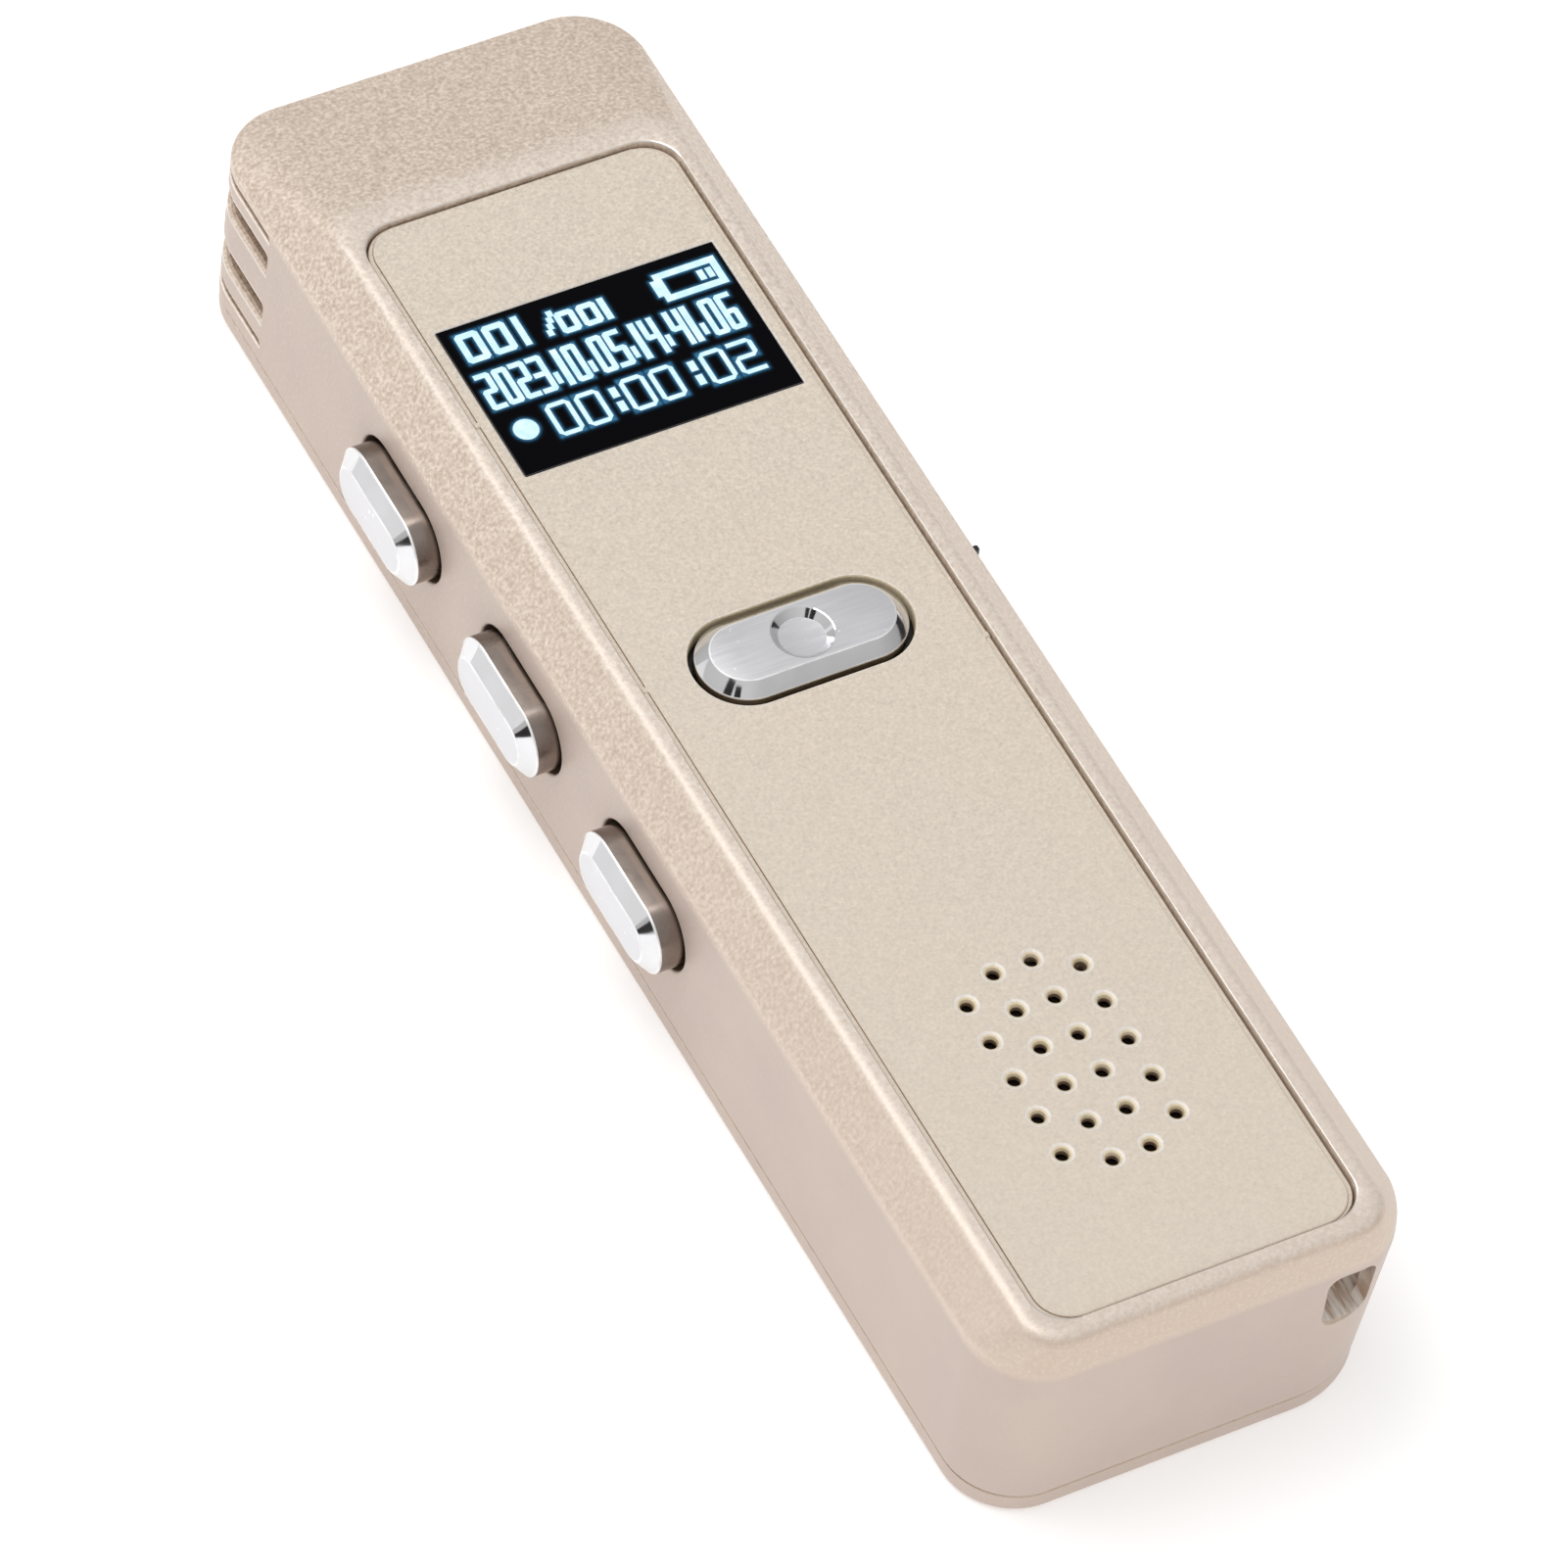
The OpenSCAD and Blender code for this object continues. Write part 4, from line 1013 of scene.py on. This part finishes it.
def build_knob():
    """Black power knob on its sliding plate, with a raised central ridge and grip ribs."""
    mid_y = (knob_lo.y + knob_hi.y) / 2
    plate_half = (knob_hi.y - knob_lo.y) / 2
    half = plate_half - KNOB_PLATE_END
    def ring(grow, x, hy=half, hz=KNOB_HALF_H, r=0.3):
        return at(plan(hy + grow, -hz - grow, hz + grow, r, 6), x)
    place = facing(1, mid_y, KNOB_Z)
    outer = HALF_W + 0.35
    knob = loft("power_knob_cap", [ring(0, knob_lo.x), ring(0, outer - 0.12), ring(-0.04, outer - 0.03),
                                   ring(-0.14, outer)], [BLACK], where=place)
    plate = [ring(0, x, plate_half, 2.2) for x in (knob_lo.x, knob_lo.x + 0.8)]
    parts = [loft("plate", plate, where=place)]
    for i in range(-3, 4):
        top = outer + (0.8 if i == 0 else 0.3)
        rib = [ring(grow, x, 0.2, 1.3, 0.08)
               for grow, x in ((0, HALF_W), (0, top - 0.12), (-0.04, top - 0.03), (-0.1, top))]
        parts.append(loft("rib", rib, where=Matrix.Translation((0, i, 0)) @ place))
    combine(knob, parts, "UNION")
    finish_piece(knob, "power_knob", ["power_knob"])


# ---- Sockets and strap plate ----

def build_sockets():
    """USB shell with a rolled mouth, and the jack's turned barrel."""
    r, front, back = USB_R, usb_hi.y, usb_lo.y
    profile = [(r - 0.1, back), (r, back + 0.1), (r, front - 0.12), (r - 0.06, front - 0.02),
               (r - 0.15, front), (r - 0.24, front - 0.03), (r - 0.3, front - 0.12), (r - 0.3, back + 0.5)]
    usb = lathe_pill("usb_socket_shell", USB_STRAIGHT, profile, [STEEL], where=facing_top(usb_lo, usb_hi))
    finish_piece(usb, CASE, ["usb_shell"])
    r, front, back = JACK_R, jack_hi.y, jack_lo.y
    profile = [(r - 0.1, back), (r, back + 0.1), (r, front - 0.2), (r - 0.04, front - 0.05),
               (r - 0.15, front), (2.05, front), (1.85, front - 0.12), (1.8, front - 0.25), (1.8, back + 0.6)]
    jack = lathe("earphone_jack_barrel", profile, [STEEL], where=facing_top(jack_lo, jack_hi))
    finish_piece(jack, CASE, ["jack_barrel"])


def build_strap_plate():
    """Curved bright plate on the inner side of the strap passage."""
    thickness = 0.35
    outline = arc(STRAP_INNER_R + thickness, -90, 1, 6) + arc(STRAP_INNER_R, 0, -91, -6)
    plate = prism("strap_bright_plate", outline, strap_lo.z, strap_hi.z, where=STRAP_CORNER)
    plate.data.materials.append(RAW)
    finish_piece(plate, CASE, ["strap_plate"])


# ---- CAD nodes that stay, with finished materials ----

def dress_inner_nodes():
    """Gives each remaining CAD node its finished material."""
    board = circuit_board()
    chip = plastic("chip_black", srgb(34, 34, 36), 0.5)
    pale = plastic("pale_plastic", srgb(216, 210, 196), 0.5)
    amber = plastic("amber_film", srgb(176, 117, 42), 0.3)
    ceramic = plastic("chip_parts", srgb(140, 106, 74), 0.5)
    foil = metal("battery_foil", srgb(186, 188, 192), 0.35)
    cloth = plastic("speaker_cloth", srgb(46, 31, 23), 0.8, 0.1, 0.05)
    looks = {
        board: "main_board battery_board", chip: "display_panel processor_chip memory_chip power_chip",
        pale: "flex_socket battery_tape power_lever", amber: "display_flex", ceramic: "board_parts",
        foil: "battery", cloth: "speaker_mesh", STEEL: "crystal mic_left mic_right board_screws",
        GREY_STEEL: "speaker_frame speaker_magnet power_switch",
        RUBBER: "display_tape speaker_cone speaker_gasket mic_boot_left mic_boot_right record_stem "
                "side_stem_lower side_stem_middle side_stem_upper",
        BLACK: "battery_leads usb_tongue jack_body record_switch "
               "side_switch_lower side_switch_middle side_switch_upper",
    }
    for material, names in looks.items():
        for node in names.split():
            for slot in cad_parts[node].material_slots:
                slot.material = material


# ---- Stage ----

def look_at(obj, target):
    """Turns a light or card to face a point."""
    direction = Vector(target) - obj.location
    obj.rotation_euler = direction.to_track_quat("-Z", "Y").to_euler()


def build_camera():
    """Long lens from the left of the foot end, slightly rolled."""
    azimuth, elevation, roll = math.radians(-34.59), math.radians(51.32), math.radians(8.87)
    target = Vector((-2.33, -3.85, 8.0)) * MM
    distance = 681.6 * MM
    back = Vector((math.sin(azimuth) * math.cos(elevation), -math.cos(azimuth) * math.cos(elevation),
                   math.sin(elevation)))
    level = Vector((math.cos(azimuth), math.sin(azimuth), 0))
    right = Matrix.Rotation(roll, 3, back) @ level
    up = back.cross(right)
    camera = bpy.data.cameras.new("camera")
    camera.lens = 272.2
    camera.sensor_width = 36
    camera.clip_start = 0.01
    obj = bpy.data.objects.new("camera", camera)
    basis = Matrix((right, up, back)).transposed()
    obj.matrix_world = Matrix.Translation(target + back * distance) @ basis.to_4x4()
    bpy.context.collection.objects.link(obj)
    bpy.context.scene.camera = obj


def area_light(name, place, size, power, glossy=True):
    """Soft light aimed at the object."""
    light = bpy.data.lights.new(name, "AREA")
    light.shape = "RECTANGLE"
    light.size, light.size_y = size
    light.energy = power
    obj = bpy.data.objects.new(name, light)
    obj.visible_glossy = glossy
    obj.location = place
    look_at(obj, (0, 0, 0))
    bpy.context.collection.objects.link(obj)


def card(name, place, size, level=0.0):
    """Card that only shows in reflections: dark as a camera and its stand are, or lit to the given level."""
    bm = bmesh.new()
    bmesh.ops.create_grid(bm, x_segments=1, y_segments=1, size=0.5)
    bmesh.ops.scale(bm, vec=(size[0] / MM, size[1] / MM, 1), verts=bm.verts)
    look = Look(name, srgb(20, 16, 14), roughness=0.8)
    look.color(look.mix(look.noise(20.0), srgb(20, 16, 14), srgb(26, 22, 20)))
    look.emit((1, 1, 1, 1), level)
    piece = from_bmesh(name, bm, [look.material])
    piece.location = place
    look_at(piece, (0, 0, 0.01))
    piece.visible_camera = False
    piece.visible_shadow = False
    piece.visible_diffuse = False


def build_world():
    """Soft surroundings, brighter overhead and on the left."""
    world = bpy.data.worlds.new("studio")
    bpy.context.scene.world = world
    world.use_nodes = True
    nodes, links = world.node_tree.nodes, world.node_tree.links
    split = nodes.new("ShaderNodeSeparateXYZ")
    links.new(nodes.new("ShaderNodeTexCoord").outputs["Generated"], split.inputs["Vector"])
    height = nodes.new("ShaderNodeMapRange")
    links.new(split.outputs["Z"], height.inputs["Value"])
    blend = nodes.new("ShaderNodeMix")
    blend.data_type = "RGBA"
    blend.inputs[6].default_value = (0.62, 0.61, 0.6, 1)
    blend.inputs[7].default_value = (0.92, 0.92, 0.92, 1)
    links.new(height.outputs["Result"], blend.inputs[0])
    side = nodes.new("ShaderNodeMapRange")
    links.new(split.outputs["X"], side.inputs["Value"])
    for socket, value in zip(("From Min", "From Max", "To Min", "To Max"), (-0.2, 1.0, 0.85, 0.62)):
        side.inputs[socket].default_value = value
    shade = nodes["Background"]
    links.new(blend.outputs[2], shade.inputs["Color"])
    links.new(side.outputs["Result"], shade.inputs["Strength"])


def build_floor():
    """Plain pale paper, just under the object."""
    bm = bmesh.new()
    bmesh.ops.create_grid(bm, x_segments=8, y_segments=8, size=4.0 / MM)
    paper = Look("floor_paper", srgb(243, 243, 243), roughness=0.9)
    fibres = paper.ramp(paper.noise(60.0, 3.0), 0.3, 0.7)
    paper.color(paper.mix(fibres, srgb(244, 244, 244), srgb(241, 241, 241)))
    paper.emit((1, 1, 1, 1), 0.32)
    floor = from_bmesh("floor", bm, [paper.material])
    floor.location.z = cad_box[0][2] - 0.02 * MM


def build_stage():
    """Surroundings, floor, lights and the cards that the metal reflects."""
    build_world()
    build_floor()
    area_light("key", (-0.25, 0.3, 0.8), (0.6, 0.6), 2.9)
    area_light("foot_fill", (0.1, -0.8, 0.4), (0.7, 0.4), 1.3, glossy=False)
    card("side_card", (-0.7, 0.46, 0.16), (0.5, 0.32), 0.86)
    card("camera_flag", (-0.46, -0.27, 0.42), (0.17, 0.2))
    card("hand_flag", (-0.34, -0.43, 0.42), (0.13, 0.16))
    card("stand_flag", (-0.5, 0.01, 0.065), (0.12, 0.11))
    card("room_dark", (0.6, -0.1, 0.08), (0.6, 0.12))
    bpy.context.scene.view_settings.view_transform = "Standard"


build_camera()
build_stage()
build_case()
build_cover()
build_screws()
build_panel()
lit = display_shapes()
build_lens(lit)
build_figures(lit)
build_record_button()
build_side_buttons()
build_knob()
build_sockets()
build_strap_plate()
dress_inner_nodes()
